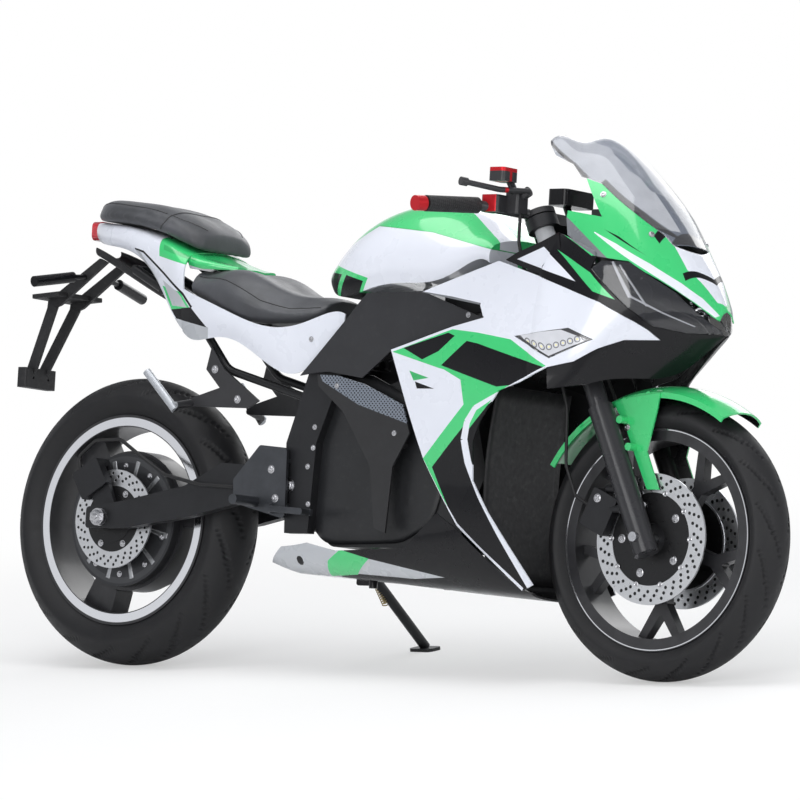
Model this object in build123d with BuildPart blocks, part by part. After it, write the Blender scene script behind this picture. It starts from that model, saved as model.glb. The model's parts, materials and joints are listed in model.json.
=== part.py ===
from build123d import *
import os
from math import cos, radians, sin, tan

# Electric sport motorcycle, millimetres. It is modelled upright, with +X forward, +Y to the left,
# +Z up and the floor line under the rear axle as its origin, then leaned over onto its side stand.

# ---- driving dimensions -------------------------------------------------------------------------
wheelbase = 1420
lean = 12                       # how far it leans to the left on its stand, degrees
rake = 24.5                     # steering axis, degrees from upright
trail = 95
steer_lock = 25                 # each way, degrees
stand_swing = 88                # side stand, down to folded, degrees
seat_gap = 0.3                  # between pieces that only touch

rear_tyre_radius = 314
rear_tyre_width = 146
rear_rim_width = 113
front_tyre_radius = 289.5
front_tyre_width = 114
front_rim_width = 88
flange_radius = 230             # both rims are 17 inch
bead_seat_radius = 216
barrel_radius = 204             # inner face of both rims
flange_thickness = 8
tyre_wall = 12
crown_drop = 0.64               # crown to widest point, over the half width

rear_disc_radius = 107.5
rear_disc_offset = 82.5
front_disc_radius = 135.5
front_disc_offset = 61
disc_thickness = 4.5
motor_radius = 145
motor_width = 104
axle_radius = 10

fork_spacing = 190              # between the two legs
leg_radius = 26
fork_tube_radius = 21
upper_clamp = 952               # top faces of the two fork clamps
lower_clamp = 745
fork_top = 966
grip_inner = (1045, 215, 968)
grip_outer = (1010, 350, 957)

arm_inner = 102                 # swingarm arm, inner face to the centre plane
arm_width = 26
plate_inner = 96                # frame's pivot plates, the same
panel_wall = 4
stand_pivot = (540, 145, 222)
stand_foot = (566, 318)         # along the bike, and out from its centre plane
plate_block = (-318, 0, 630)    # number-plate carrier, middle of its block
plate_depth = 26
plate_hole = 3.2
plate_hole_y = 25
weight_radius = 16              # at the ends of the bars

# ---- derived places -----------------------------------------------------------------------------
crown_share = (1 + crown_drop**2) / (2 * crown_drop)    # crown radius over half width
lean_rise = 1 / cos(radians(lean)) - 1
rear_axle = (0, rear_tyre_radius + rear_tyre_width / 2 * crown_share * lean_rise)
front_axle = (wheelbase, front_tyre_radius + front_tyre_width / 2 * crown_share * lean_rise)
steer_foot = wheelbase + trail
steer_direction = Vector(-sin(radians(rake)), 0, cos(radians(rake)))
fork_offset = wheelbase - steer_foot + front_axle[1] * tan(radians(rake))
clamp_drop = fork_offset * cos(radians(rake)) * sin(radians(rake))      # clamp's fall from the legs back to the stem
head_top = upper_clamp - clamp_drop - (26 + seat_gap) * cos(radians(rake))
head_bottom = lower_clamp - clamp_drop + seat_gap * cos(radians(rake))
stand_spread = (stand_foot[1] - stand_pivot[1], stand_pivot[2] - stand_foot[1] * tan(radians(lean)))
stand_axis = (0, stand_spread[1], stand_spread[0])      # square to the leg, so it folds up along the bike
hub_bore = axle_radius + seat_gap
hands = (-1, 1)                 # right, left


def station(x):
    """Cross-section plane: sketch x is to the left, sketch y is up."""
    return Plane(origin=(x, 0, 0), x_dir=(0, 1, 0), z_dir=(1, 0, 0))


def side(y):
    """Side-view plane: sketch x is forward, sketch y is up, and its normal points right."""
    return Plane(origin=(0, y, 0), x_dir=(1, 0, 0), z_dir=(0, -1, 0))


def steer_axis_x(z):
    """Where the steering axis is at a height."""
    return steer_foot - z * tan(radians(rake))


def fork_x(z):
    """Where the fork legs' centre lines are at a height."""
    return steer_axis_x(z) + fork_offset


def fork_plane(y, z):
    """Plane square to the fork, with its origin on the leg's centre line at that height."""
    return Plane(origin=(fork_x(z), y, z), x_dir=(0, 1, 0), z_dir=steer_direction)


# ---- shapes that repeat -------------------------------------------------------------------------
def rod(start, end, radius, mode=Mode.ADD):
    """Round bar from point to point, in the open part."""
    run = Vector(*end) - Vector(*start)
    with BuildSketch(Plane(origin=start, z_dir=run)) as section:
        Circle(radius)
    extrude(section.sketch, amount=run.length, mode=mode)


def plate(outline, y, thickness, rounding=0, mode=Mode.ADD):
    """Flat plate with a side-view outline, from y outwards on the side that y is on."""
    with BuildSketch(side(y)) as profile:
        with BuildLine():
            Polyline(*outline, close=True)
        make_face()
        if rounding:
            fillet(profile.vertices(), rounding)
    extrude(profile.sketch, amount=-thickness if y > 0 else thickness, mode=mode)


def bar(points, width, height):
    """Box-section bar along points, its width across the bike."""
    for start, end in zip(points, points[1:]):
        run = Vector(*end) - Vector(*start)
        with BuildSketch(Plane(origin=start, x_dir=(0, 1, 0), z_dir=run)) as section:
            RectangleRounded(width, height, min(width, height) / 5)
        extrude(section.sketch, amount=run.length)


def bent_tube(points, bends, radius, mode=Mode.ADD):
    """Round tube of straight runs and tangent arcs."""
    with BuildLine() as route:
        FilletPolyline(*points, radius=bends)
    with BuildSketch(Plane(origin=route.line @ 0, z_dir=route.line % 0)) as section:
        Circle(radius)
    sweep(section.sketch, path=route.line, mode=mode)


def box(centre, size, rounding=0):
    """Upright block about its centre, with rounded upright edges."""
    with BuildSketch(Plane(origin=(centre[0], centre[1], centre[2] - size[2] / 2))) as section:
        if rounding:
            RectangleRounded(size[0], size[1], rounding)
        else:
            Rectangle(size[0], size[1])
    extrude(section.sketch, amount=size[2])


def turned(axle, y_from, y_to, radius, bore, mode=Mode.ADD):
    """Round boss about an axle, in the open part."""
    with BuildSketch(Plane(origin=(axle[0], y_from, axle[1]), x_dir=(1, 0, 0), z_dir=(0, 1, 0))) as section:
        Circle(radius)
        Circle(bore, mode=Mode.SUBTRACT)
    extrude(section.sketch, amount=y_to - y_from, mode=mode)


def mirrored(half):
    """A cross-section's points from its right foot over the top to its left foot."""
    return [(-y, z) for y, z in half] + [(y, z) for y, z in reversed(half[:-1])]


def inset(points, wall):
    """The same row of points, moved square to the row by the wall, to the right of the way it runs."""
    moved = []
    for place, point in enumerate(points):
        before = Vector(*points[max(place - 1, 0)])
        after = Vector(*points[min(place + 1, len(points) - 1)])
        way = (after - before).normalized()
        moved.append((point[0] + wall * way.Y, point[1] - wall * way.X))
    return moved


def skin(stations, wall):
    """Curved panel lofted through rows of (y, z) points, its wall to the right of the way they run."""
    sections = []
    for x, points in stations:
        inner = inset(points, wall)
        with BuildSketch(station(x)) as section:
            with BuildLine():
                Spline(*points)
                Line(points[-1], inner[-1])
                Spline(*reversed(inner))
                Line(inner[0], points[0])
            make_face()
        sections.append(section.sketch)
    loft(sections)


def solid_form(stations):
    """Closed solid lofted through half cross-sections, each from its foot up to the centre plane."""
    sections = []
    for x, half in stations:
        points = mirrored(half)
        with BuildSketch(station(x)) as section:
            with BuildLine():
                Spline(*points)
                Line(points[-1], points[0])
            make_face()
        sections.append(section.sketch)
    loft(sections)


def window(outline, y_from, y_to):
    """Solid block with a side-view outline, to cut bodywork with."""
    with BuildPart() as block:
        with BuildSketch(side(y_from)):
            with BuildLine():
                Polyline(*outline, close=True)
            make_face()
        extrude(amount=y_from - y_to)
    return block.part


def both_sides(half):
    """A right-hand piece with its mirror image."""
    add(half)
    add(half.mirror(Plane.XZ))


# ---- wheels -------------------------------------------------------------------------------------
def handed(point, hand):
    """The point on the right or the left."""
    return (point[0], hand * point[1], point[2])


def between(start, end, share):
    """The point a share of the way from start to end."""
    return tuple(a + (b - a) * share for a, b in zip(start, end))


def tyre(axle, radius, width, rim_width):
    """Tyre ring with a round crown and open beads."""
    half = width / 2
    inside = half - tyre_wall - 3
    waist = radius - crown_drop * half
    bead = rim_width / 2 - flange_thickness - seat_gap
    toe = bead - tyre_wall
    shoulder = flange_radius + 1
    seat = bead_seat_radius + seat_gap
    with BuildPart() as ring:
        with BuildSketch(Plane(origin=(axle[0], 0, axle[1]), x_dir=(0, 1, 0), z_dir=(1, 0, 0))):
            with BuildLine():
                ThreePointArc((-half, waist), (0, radius), (half, waist))
                Polyline((half, waist), (half - 3, waist - 10), (bead, shoulder), (bead, seat), (toe, seat))
                Line((toe, seat), (inside, waist))
                ThreePointArc((inside, waist), (0, radius - tyre_wall), (-inside, waist))
                Line((-inside, waist), (-toe, seat))
                Polyline((-toe, seat), (-bead, seat), (-bead, shoulder), (3 - half, waist - 10), (-half, waist))
            make_face()
        revolve(axis=Axis((axle[0], 0, axle[1]), (0, 1, 0)))
    return ring


def rim_ring(axle, rim_width):
    """Rim barrel with two flanges, in the open part."""
    edge = rim_width / 2
    well = bead_seat_radius - 6
    hook = edge - flange_thickness
    lip = edge - 2.5
    with BuildSketch(Plane(origin=(axle[0], 0, axle[1]), x_dir=(0, 1, 0), z_dir=(1, 0, 0))) as profile:
        with BuildLine():
            Polyline(
                (-edge, flange_radius), (-lip, flange_radius), (-hook, bead_seat_radius), (26 - edge, well),
                (edge - 26, well), (hook, bead_seat_radius), (lip, flange_radius), (edge, flange_radius),
                (edge, barrel_radius), (-edge, barrel_radius), close=True,
            )
        make_face()
    revolve(profile.sketch, axis=Axis((axle[0], 0, axle[1]), (0, 1, 0)))


def spokes(axle, outline, count, first, thickness):
    """Flat spokes about an axle: outline is (out, across) for the one that points along first."""
    for turn in range(count):
        angle = radians(first + turn * 360 / count)
        out = (cos(angle), 0, sin(angle))
        with BuildSketch(Plane(origin=(axle[0], -thickness / 2, axle[1]), x_dir=out, z_dir=(0, -1, 0))) as profile:
            with BuildLine():
                Polyline(*outline, close=True)
            make_face()
        extrude(profile.sketch, amount=-thickness)


front_tyre = tyre(front_axle, front_tyre_radius, front_tyre_width, front_rim_width)
front_tyre.part.label = "front_tyre"

rear_tyre = tyre(rear_axle, rear_tyre_radius, rear_tyre_width, rear_rim_width)
rear_tyre.part.label = "rear_tyre"

front_hub_radius = 46
front_hub_half = 49
fork_root = 128
spoke_end = barrel_radius + 8
y_spoke = [
    (40, -17), (fork_root, -13), (spoke_end, -62), (spoke_end, -42), (fork_root + 26, -2),
    (fork_root + 26, 2), (spoke_end, 42), (spoke_end, 62), (fork_root, 13), (40, 17),
]
with BuildPart() as front_rim:
    spokes(front_axle, y_spoke, 5, -90, 26)
    turned(front_axle, -14, 14, flange_radius, barrel_radius + 3, Mode.SUBTRACT)
    rim_ring(front_axle, front_rim_width)
    turned(front_axle, -front_hub_half, front_hub_half, front_hub_radius, hub_bore)
front_rim.part.label = "front_rim"

disc_face = front_disc_offset - disc_thickness / 2
with BuildPart() as front_discs:
    for hand in hands:
        turned(front_axle, hand * disc_face, hand * (disc_face + disc_thickness), front_disc_radius, 96)
        turned(front_axle, hand * (disc_face - 2), hand * (disc_face + 3), 100, 50)
        turned(front_axle, hand * front_hub_half, hand * (disc_face + 3), 62, 34)
front_discs.part.label = "front_discs"

motor_spoke = [(motor_radius + 6, -34), (spoke_end, -42), (spoke_end, 42), (motor_radius + 6, 34)]
with BuildPart() as rear_rim:
    spokes(rear_axle, motor_spoke, 3, -112, 56)
    turned(rear_axle, -30, 30, flange_radius, barrel_radius + 3, Mode.SUBTRACT)
    rim_ring(rear_axle, rear_rim_width)
    turned(rear_axle, -30, 30, motor_radius + 8, motor_radius)
rear_rim.part.label = "rear_rim"

with BuildPart() as hub_motor:
    turned(rear_axle, -motor_width / 2, motor_width / 2, motor_radius, hub_bore)
    turned(rear_axle, 4 - rear_disc_offset, -motor_width / 2, 62, hub_bore)
hub_motor.part.label = "hub_motor"

with BuildPart() as rear_disc:
    half = disc_thickness / 2
    turned(rear_axle, -rear_disc_offset - half, half - rear_disc_offset, rear_disc_radius, 48)
    turned(rear_axle, -rear_disc_offset - 3.5, 4 - rear_disc_offset, 52, hub_bore)
rear_disc.part.label = "rear_disc"

# ---- frame and swingarm -------------------------------------------------------------------------
pivot = (530, 400)
with BuildPart() as main_frame:
    for hand in hands:
        bar([(steer_axis_x(850), hand * 26, 850), (1010, hand * 108, 790), (600, hand * 108, 650)], 24, 56)
        plate([(505, 288), (568, 288), (578, 480), (640, 640), (560, 665), (497, 480)], hand * plate_inner, 24)
        rod((990, hand * 110, 783), (990, hand * 174, 783), 7)
        rod((700, hand * 110, 690), (700, hand * 146.2, 690), 7)
        for x, lug_z in ((680, 792.2), (900, 817)):
            rod((x, hand * 108, 650 + (x - 600) * 140 / 410), (x, hand * 108, lug_z), 8)
    for place in ((560, 640), (535, 310)):
        rod((place[0], -plate_inner - 4, place[1]), (place[0], plate_inner + 4, place[1]), 14)
    rod((steer_axis_x(850), 0, 850), (1340, 0, 864), 14)
    rod((1340, -150, 864), (1340, 150, 864), 8)
    plate([(521, 194), (560, 194), (566, 334), (524, 334)], plate_inner + 23, 6, 6)
    pin_way = Vector(*stand_axis).normalized()
    rod(Vector(*stand_pivot) - pin_way * 30, Vector(*stand_pivot) - pin_way * (11 + seat_gap), 8)
    rod((steer_axis_x(head_bottom), 0, head_bottom), (steer_axis_x(head_top), 0, head_top), 34)
    rod((steer_axis_x(700), 0, 700), (steer_axis_x(960), 0, 960), 15.3, Mode.SUBTRACT)
main_frame.part.label = "main_frame"

with BuildPart() as battery_pack:
    with BuildSketch(side(0)) as profile:
        with BuildLine():
            Polyline((592, 262), (940, 262), (1010, 420), (960, 610), (860, 650), (660, 575), (592, 500), close=True)
        make_face()
        fillet(profile.vertices(), 30)
    extrude(amount=90, both=True)
battery_pack.part.label = "battery_pack"

plate_outline = [
    (585, 624), (590, 600), (660, 545), (740, 430), (760, 300), (790, 290), (800, 430), (840, 500), (818, 560),
    (712, 604), (640, 622),
]
with BuildPart() as frame_plates:
    for hand in hands:
        plate(plate_outline, hand * 134, 5)
        for x, z, inner in ((606, 608, plate_inner + 24), (800, 480, 90)):
            rod((x, hand * (inner + seat_gap), z), (x, hand * 135, z), 9)
frame_plates.part.label = "frame_plates"

with BuildPart() as subframe:
    for hand in hands:
        bent_tube([(584, hand * 84.7, 664), (400, hand * 84.7, 690), (240, hand * 82, 745), (10, hand * 70, 862)], 60, 11)
        bent_tube([(516, hand * 86.7, 580), (300, hand * 86.7, 640), (190, hand * 80, 765)], 60, 9)
        rod((400, hand * 84, 690), (400, hand * 84, 737.2), 8)
        rod((110, hand * 74, 811), (110, hand * 100.8, 811), 7)
    for place in ((10, 864), (240, 745)):
        rod((place[0], -76, place[1]), (place[0], 76, place[1]), 9)
subframe.part.label = "subframe"

arm_outline = [
    (-42, 292), (-42, 338), (60, 352), (230, 386), (330, 436), (490, 428), (490, 376), (380, 350), (250, 320),
    (60, 292),
]
with BuildPart() as swingarm:
    for hand in hands:
        plate(arm_outline, hand * arm_inner, arm_width, 8)
    with BuildSketch(station(392)):
        with Locations((0, 392)):
            RectangleRounded(2 * arm_inner + 4, 56, 10)
    extrude(amount=50)
    for hand in hands:
        bar([(430, hand * 66, 396), (522, hand * 66, 400)], 36, 44)
    rod((522, seat_gap - plate_inner, 400), (522, plate_inner - seat_gap, 400), 24)
    rod((0, -200, rear_axle[1]), (0, 200, rear_axle[1]), hub_bore, Mode.SUBTRACT)
swingarm.part.label = "swingarm"

with BuildPart() as rear_axle_spindle:
    reach = arm_inner + arm_width + 12
    rod((0, -reach, rear_axle[1]), (0, reach, rear_axle[1]), axle_radius)
rear_axle_spindle.part.label = "rear_axle"

with BuildPart() as rear_shock:
    rod((452, 0, 465), (516, 0, 598), 26)
    rod((438, 0, 436), (530, 0, 627), 8)
    for x, z in ((438, 432.3), (533.4, 632)):
        rod((x, -20, z), (x, 20, z), 12)
rear_shock.part.label = "rear_shock"

# ---- bodywork: side-view outlines ---------------------------------------------------------------
fairing_outline = [
    (812, 673), (974, 720), (1054, 737), (1040, 764), (878, 793), (1072, 857), (1179, 824), (1337, 768),
    (1401.6, 731), (1422.4, 716), (1439, 697), (1382.5, 693), (1337, 673), (1290, 645), (1232, 632), (1170, 601),
    (1118, 583), (1073, 521), (1055, 479), (1054, 397), (1089, 334), (1121, 287), (1189, 187), (1160, 174),
    (1005, 304), (919, 440),
]
belly_outline = [
    (458, 227), (522, 205), (700, 195), (936, 175), (1150, 160), (1158, 171), (1003, 301), (950, 330),
    (860, 258), (661, 251), (525, 278),
]
screen_outline = [
    (1148, 1112), (1175, 1080), (1214, 1062), (1240, 1034), (1252, 1031.6), (1289, 1019.6), (1369, 958.6),
    (1418, 918.6), (1438, 895.6), (1465, 905), (1300, 1160), (1160, 1160),
]
cowl_outline = [
    (1226, 946), (1226, 962), (1310, 948), (1284, 985), (1252, 1031), (1289, 1019), (1369, 958), (1418, 918),
    (1438, 895), (1560, 830), (1560, 718), (1543, 718), (1470, 796), (1385, 855), (1314.5, 862), (1236, 910),
]
lamp_outline = [
    (1314, 838), (1333, 853), (1385, 853.5), (1470, 794.5), (1541, 717), (1487, 713.7), (1433, 724), (1392.5, 759.5),
    (1344.5, 808),
]
chin_outline = [
    (1181, 827.5), (1226, 912), (1314, 874), (1319, 858), (1311, 838), (1342.5, 807), (1391.5, 758.5), (1432.5, 723),
    (1487, 713), (1560, 716), (1560, 640), (1458, 600), (1312, 600), (1233, 588), (1232, 631.5), (1290, 644.5),
    (1337, 672.5), (1382.5, 692.4), (1440.5, 696.4), (1424, 717), (1402.5, 732), (1337.5, 769), (1179.5, 825),
]

fairing_seam = 1190             # where the flank's surface goes over into the cheek's

indicator_lens = [(1146, 697), (1274, 713), (1326, 691), (1236, 652)]
indicator_hole = [(1143, 697), (1274, 714), (1329, 691), (1236, 650)]

cover_outline = [
    (540, 622), (582, 628), (617, 630), (712, 616), (796, 675), (958, 722), (1040, 738), (869, 797), (717, 796),
    (660, 737),
]

crest = [
    (1140, [(145, 990), (132, 1070), (112, 1112), (58, 1134), (0, 1141)]),
    (1226, [(166, 900), (150, 955), (118, 1058), (60, 1108), (0, 1130)]),
    (1300, [(171, 846), (155, 905), (116, 1018), (58, 1064), (0, 1079)]),
    (1380, [(152, 846), (134, 892), (92, 962), (44, 984), (0, 990)]),
    (1440, [(114, 820), (94, 862), (60, 896), (30, 908), (0, 912)]),
    (1489, [(79, 786), (62, 812), (40, 834), (20, 842), (0, 846)]),
    (1517, [(49, 760), (38, 777), (25, 790), (12, 799), (0, 802)]),
    (1536, [(27, 744), (21, 754), (14, 761), (7, 765), (0, 767)]),
]
flank = [
    (780, [(165, 880), (172, 800), (180, 720), (184, 640), (186, 540), (176, 420), (146, 290), (106, 170)]),
    (900, [(168, 880), (175, 800), (184, 720), (190, 640), (192, 540), (184, 420), (158, 290), (114, 170)]),
    (1050, [(168, 880), (178, 800), (192, 720), (203, 640), (205, 540), (197, 420), (174, 290), (134, 170)]),
    (1200, [(168, 880), (178, 800), (193, 720), (203, 640), (203, 540), (193, 420), (172, 290), (144, 170)]),
    (1300, [(168, 880), (180, 800), (189, 720), (189, 640), (180, 540), (172, 420), (162, 290), (150, 170)]),
]
cheek = [
    (1180, [(166, 928), (168, 880), (176, 820), (186, 760), (196, 700), (203, 650), (204, 610), (204, 580), (203, 560)]),
    (1240, [(166, 908), (170, 872), (178, 812), (188, 755), (196, 700), (199, 655), (197, 618), (194, 590), (190, 572)]),
    (1300, [(166, 884), (172, 858), (178, 800), (184, 750), (187, 700), (186, 665), (181, 635), (175, 612), (168, 595)]),
    (1380, [(148, 866), (154, 840), (158, 808), (158, 765), (153, 724), (144, 691), (131, 662), (115, 638), (98, 618)]),
    (1440, [(103, 838), (111, 820), (117, 795), (117, 763), (111, 733), (99, 704), (81, 677), (58, 652), (32, 633)]),
    (1489, [(72, 798), (77, 786), (80, 768), (78, 750), (72, 730), (62, 711), (48, 695), (32, 681), (12, 671)]),
    (1517, [(45, 770), (48, 761), (49, 750), (47, 738), (43, 725), (36, 714), (27, 705), (16, 699), (5, 695)]),
    (1536, [(26, 755), (27, 749), (27, 742), (25, 734), (22, 726), (18, 720), (13, 715), (8, 712), (3, 711)]),
]
keel = [
    (440, [(96, 262), (92, 240), (70, 224), (36, 219), (0, 218)]),
    (600, [(132, 272), (126, 234), (96, 208), (48, 201), (0, 200)]),
    (850, [(152, 330), (146, 240), (108, 196), (54, 186), (0, 184)]),
    (1000, [(176, 345), (160, 240), (120, 188), (60, 176), (0, 174)]),
    (1160, [(176, 320), (158, 230), (120, 180), (60, 166), (0, 164)]),
]

with BuildPart() as crest_skin:
    skin([(x, mirrored(half)) for x, half in crest], panel_wall)
with BuildPart() as flank_skin:
    skin([(x, [(-y, z) for y, z in reversed(row)]) for x, row in flank], panel_wall)
with BuildPart() as cheek_skin:
    skin([(x, [(-y, z) for y, z in reversed(row)]) for x, row in cheek], panel_wall)
with BuildPart() as keel_skin:
    skin([(x, list(reversed(mirrored([(y, z) for y, z in half])))) for x, half in keel], -panel_wall)

with BuildPart() as upper_cowl:
    add(crest_skin.part & window(cowl_outline, -250, 250))
    both_sides(cheek_skin.part & window(chin_outline, -250, -2))
upper_cowl.part.label = "upper_cowl"

with BuildPart() as windshield:
    add(crest_skin.part & window(screen_outline, -250, 250))
windshield.part.label = "windshield"

with BuildPart() as headlight:
    both_sides(cheek_skin.part & window(lamp_outline, -250, -2))
headlight.part.label = "headlight"

with BuildPart() as fairing_panel:
    outline = window(fairing_outline, -260, -10)
    ahead = window([(fairing_seam - 6, 565), (fairing_seam - 6, 1000), (1600, 1000), (1600, 565)], -250, -20)
    further = window([(fairing_seam + 6, 565), (fairing_seam + 6, 1000), (1600, 1000), (1600, 565)], -250, -20)
    add((flank_skin.part & outline) - further)
    add(cheek_skin.part & outline & ahead)
    rod((920, -90 - seat_gap, 560), (920, -190, 560), 7)

with BuildPart() as fairing_right:
    add(fairing_panel.part - window(indicator_hole, -260, -20))
fairing_right.part.label = "fairing_right"

with BuildPart() as fairing_left:
    add(fairing_right.part.mirror(Plane.XZ))
fairing_left.part.label = "fairing_left"

with BuildPart() as front_indicators:
    both_sides(fairing_panel.part & window(indicator_lens, -260, -20))
front_indicators.part.label = "front_indicators"

with BuildPart() as belly_pan:
    add(keel_skin.part & window(belly_outline, -250, 250))
    add(window([(430, 100), (430, 350), (600, 350), (600, 100)], 60, 300), mode=Mode.SUBTRACT)
    for x in (660, 860):
        rod((x, 0, 181), (x, 0, 262 - seat_gap), 9)
belly_pan.part.label = "belly_pan"

with BuildPart() as side_covers:
    rows = [
        (530, [(138, 810), (142, 740), (142, 670), (140, 600)]), (700, [(150, 810), (153, 740), (150, 670), (146, 600)]),
        (880, [(160, 810), (164, 740), (162, 670), (158, 600)]), (1045, [(164, 810), (170, 740), (172, 670), (170, 600)]),
    ]
    with BuildPart(mode=Mode.PRIVATE) as cover_skin:
        skin([(x, [(-y, z) for y, z in reversed(row)]) for x, row in rows], panel_wall)
    both_sides(cover_skin.part & window(cover_outline, -250, -20))
side_covers.part.label = "side_covers"

with BuildPart() as tank_cover:
    solid_form([
        (556, [(60, 812), (68, 824), (46, 836), (0, 842)]), (600, [(112, 800), (122, 838), (84, 882), (0, 900)]),
        (650, [(138, 790), (150, 850), (92, 926), (0, 945)]), (740, [(156, 808), (165, 872), (100, 966), (0, 984)]),
        (830, [(160, 815), (168, 876), (100, 980), (0, 996)]), (940, [(158, 832), (164, 880), (92, 962), (0, 976)]),
        (1030, [(146, 856), (148, 876), (84, 908), (0, 914)]),
    ])
tank_cover.part.label = "tank_cover"

with BuildPart() as rider_seat:
    solid_form([
        (203, [(98, 800), (115, 822), (102, 846), (0, 851)]), (300, [(110, 762), (128, 800), (106, 842), (0, 850)]),
        (400, [(112, 738), (126, 770), (100, 808), (0, 816)]), (480, [(100, 738), (112, 760), (84, 786), (0, 793)]),
        (545, [(78, 756), (84, 772), (58, 790), (0, 797)]), (553, [(70, 764), (76, 776), (50, 790), (0, 796)]),
    ])
rider_seat.part.label = "rider_seat"

with BuildPart() as pillion_seat:
    solid_form([
        (-118, [(44, 976), (52, 985), (38, 996), (0, 1001)]), (-85, [(72, 970), (82, 987), (60, 1009), (0, 1015)]),
        (-15, [(90, 964), (102, 983), (74, 1003), (0, 1010)]), (80, [(98, 946), (110, 964), (84, 987), (0, 995)]),
        (150, [(100, 922), (110, 941), (84, 963), (0, 972)]), (190, [(90, 905), (98, 921), (70, 943), (0, 951)]),
        (208, [(68, 899), (76, 909), (50, 925), (0, 931)]),
    ])
pillion_seat.part.label = "pillion_seat"

tail_end = -122
with BuildPart() as tail_fairing:
    skin([(x, mirrored(half)) for x, half in [
        (tail_end, [(46, 934), (55, 949), (49, 967), (25, 971), (0, 972)]),
        (-45, [(80, 913), (91, 933), (84, 956), (45, 963), (0, 965)]),
        (60, [(98, 872), (108, 902), (100, 934), (55, 944), (0, 947)]),
        (120, [(106, 806), (116, 858), (106, 916), (60, 926), (0, 930)]),
        (190, [(112, 722), (121, 800), (113, 880), (66, 897), (0, 902)]),
    ]], panel_wall)
    solid_form([
        (186, [(100, 860), (107, 880), (60, 898), (0, 902)]), (240, [(94, 858), (97, 867), (54, 876), (0, 879)]),
        (292, [(66, 858), (66, 860), (36, 863), (0, 864)]),
    ])
    with BuildPart(mode=Mode.PRIVATE) as right_side:
        skin([
            (186, [(-112, 722), (-119, 750), (-122, 785), (-121, 815)]), (260, [(-120, 704), (-127, 735), (-130, 762), (-129, 786)]),
            (400, [(-128, 672), (-132, 694), (-134, 716), (-133, 736)]), (520, [(-130, 628), (-134, 664), (-135, 700), (-134, 732)]),
            (585, [(-131, 668), (-134, 700), (-134, 728), (-132, 752)]), (645, [(-132, 733), (-133, 740), (-133, 747), (-132, 754)]),
        ], panel_wall)
    both_sides(right_side.part)
tail_fairing.part.label = "tail_fairing"

with BuildPart() as undertail:
    skin([(x, list(reversed(mirrored(half)))) for x, half in [
        (-130, [(40, 916), (40, 906), (20, 900), (0, 900)]), (-40, [(56, 879), (56, 868), (30, 859), (0, 858)]),
        (60, [(56, 827.2), (56, 818), (30, 809), (0, 808)]), (170, [(54, 780), (54, 772), (30, 763), (0, 762)]),
    ]], -panel_wall)
undertail.part.label = "undertail"

with BuildPart() as plate_bracket:
    for hand in hands:
        plate([(-120, 892), (-98, 883), (-225, 790), (-264, 776), (-262, 800)], hand * 34, 8)
        bar([(-248, hand * 38, 790), (-318, hand * 20, 640)], 9, 26)
    bar([(-205, 0, 812), (-280, 0, 806)], 150, 10)
    box(plate_block, (plate_depth, 104, 44), 5)
    for hand in hands:
        start = Vector(*plate_block) + Vector(-plate_depth, hand * plate_hole_y, 0)
        rod(start, start + Vector(2 * plate_depth, 0, 0), plate_hole, Mode.SUBTRACT)
plate_bracket.part.label = "plate_bracket"

with BuildPart() as tail_light:
    with BuildSketch(station(tail_end - seat_gap)):
        with Locations((0, 953)):
            RectangleRounded(92, 42, 12)
    extrude(amount=-22)
tail_light.part.label = "tail_light"

with BuildPart() as rear_indicators:
    for hand in hands:
        rod((-158, hand * (43.4 + seat_gap), 851), (-164, hand * 84, 846), 6)
        rod((-163, hand * 78, 847), (-182, hand * 186, 826), 12)
rear_indicators.part.label = "rear_indicators"

# ---- footrests and stand ------------------------------------------------------------------------
rearset_y = arm_inner + arm_width + 2
with BuildPart() as rearsets:
    for hand in hands:
        plate([(376, 350), (518, 316), (514, 468), (440, 474), (372, 400)], hand * rearset_y, 8, 10)
        for x, z in ((512, 345), (508, 440)):
            rod((x, hand * (plate_inner + 24 + seat_gap), z), (x, hand * (rearset_y + 2), z), 6)
        rod((436, hand * (rearset_y + 4), 352), (436, hand * (rearset_y + 85), 352), 11)
    rod((480, -rearset_y - 4, 338), (480, -rearset_y - 20, 338), 10)
    bar([(480, -rearset_y - 16, 338), (600, -rearset_y - 20, 330)], 8, 14)
    rod((592, -rearset_y - 14, 330), (592, -rearset_y - 52, 330), 7)
rearsets.part.label = "rearsets"

with BuildPart() as passenger_pegs:
    for hand in hands:
        plate([(262, 690), (300, 640), (400, 572), (370, 556), (212, 560), (206, 576), (290, 600), (250, 640)], hand * 96, 6)
        rod((214, hand * 98, 568), (208, hand * 156, 556), 8)
        rod((210, hand * 150, 548), (134, hand * 162, 630), 9)
passenger_pegs.part.label = "passenger_pegs"

with BuildPart() as side_stand:
    ground_z = stand_foot[1] * tan(radians(lean))
    pad_up = Vector(0, -sin(radians(lean)), cos(radians(lean)))
    start = Vector(*stand_pivot) + Vector(0, 2, -2)
    rod(start, (stand_foot[0], stand_foot[1], ground_z + 8), 11)
    rod(Vector(*stand_pivot) - pin_way * 11, Vector(*stand_pivot) + pin_way * 11, 13)
    with BuildSketch(Plane(origin=(stand_foot[0], stand_foot[1], ground_z), x_dir=(1, 0, 0), z_dir=pad_up)):
        RectangleRounded(60, 46, 12)
    extrude(amount=7)
side_stand.part.label = "side_stand"

# ---- steering -----------------------------------------------------------------------------------
leg_y = fork_spacing / 2
tube_bore = fork_tube_radius + seat_gap
with BuildPart() as fork_legs:
    for hand in hands:
        y = hand * leg_y
        rod((fork_x(258), y, 258), (fork_x(560), y, 560), leg_radius)
        rod((fork_x(560), y, 560), (fork_x(fork_top), y, fork_top), fork_tube_radius)
        rod((wheelbase, y - 40, front_axle[1]), (wheelbase, y + 40, front_axle[1]), hub_bore, Mode.SUBTRACT)
fork_legs.part.label = "fork_legs"

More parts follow.
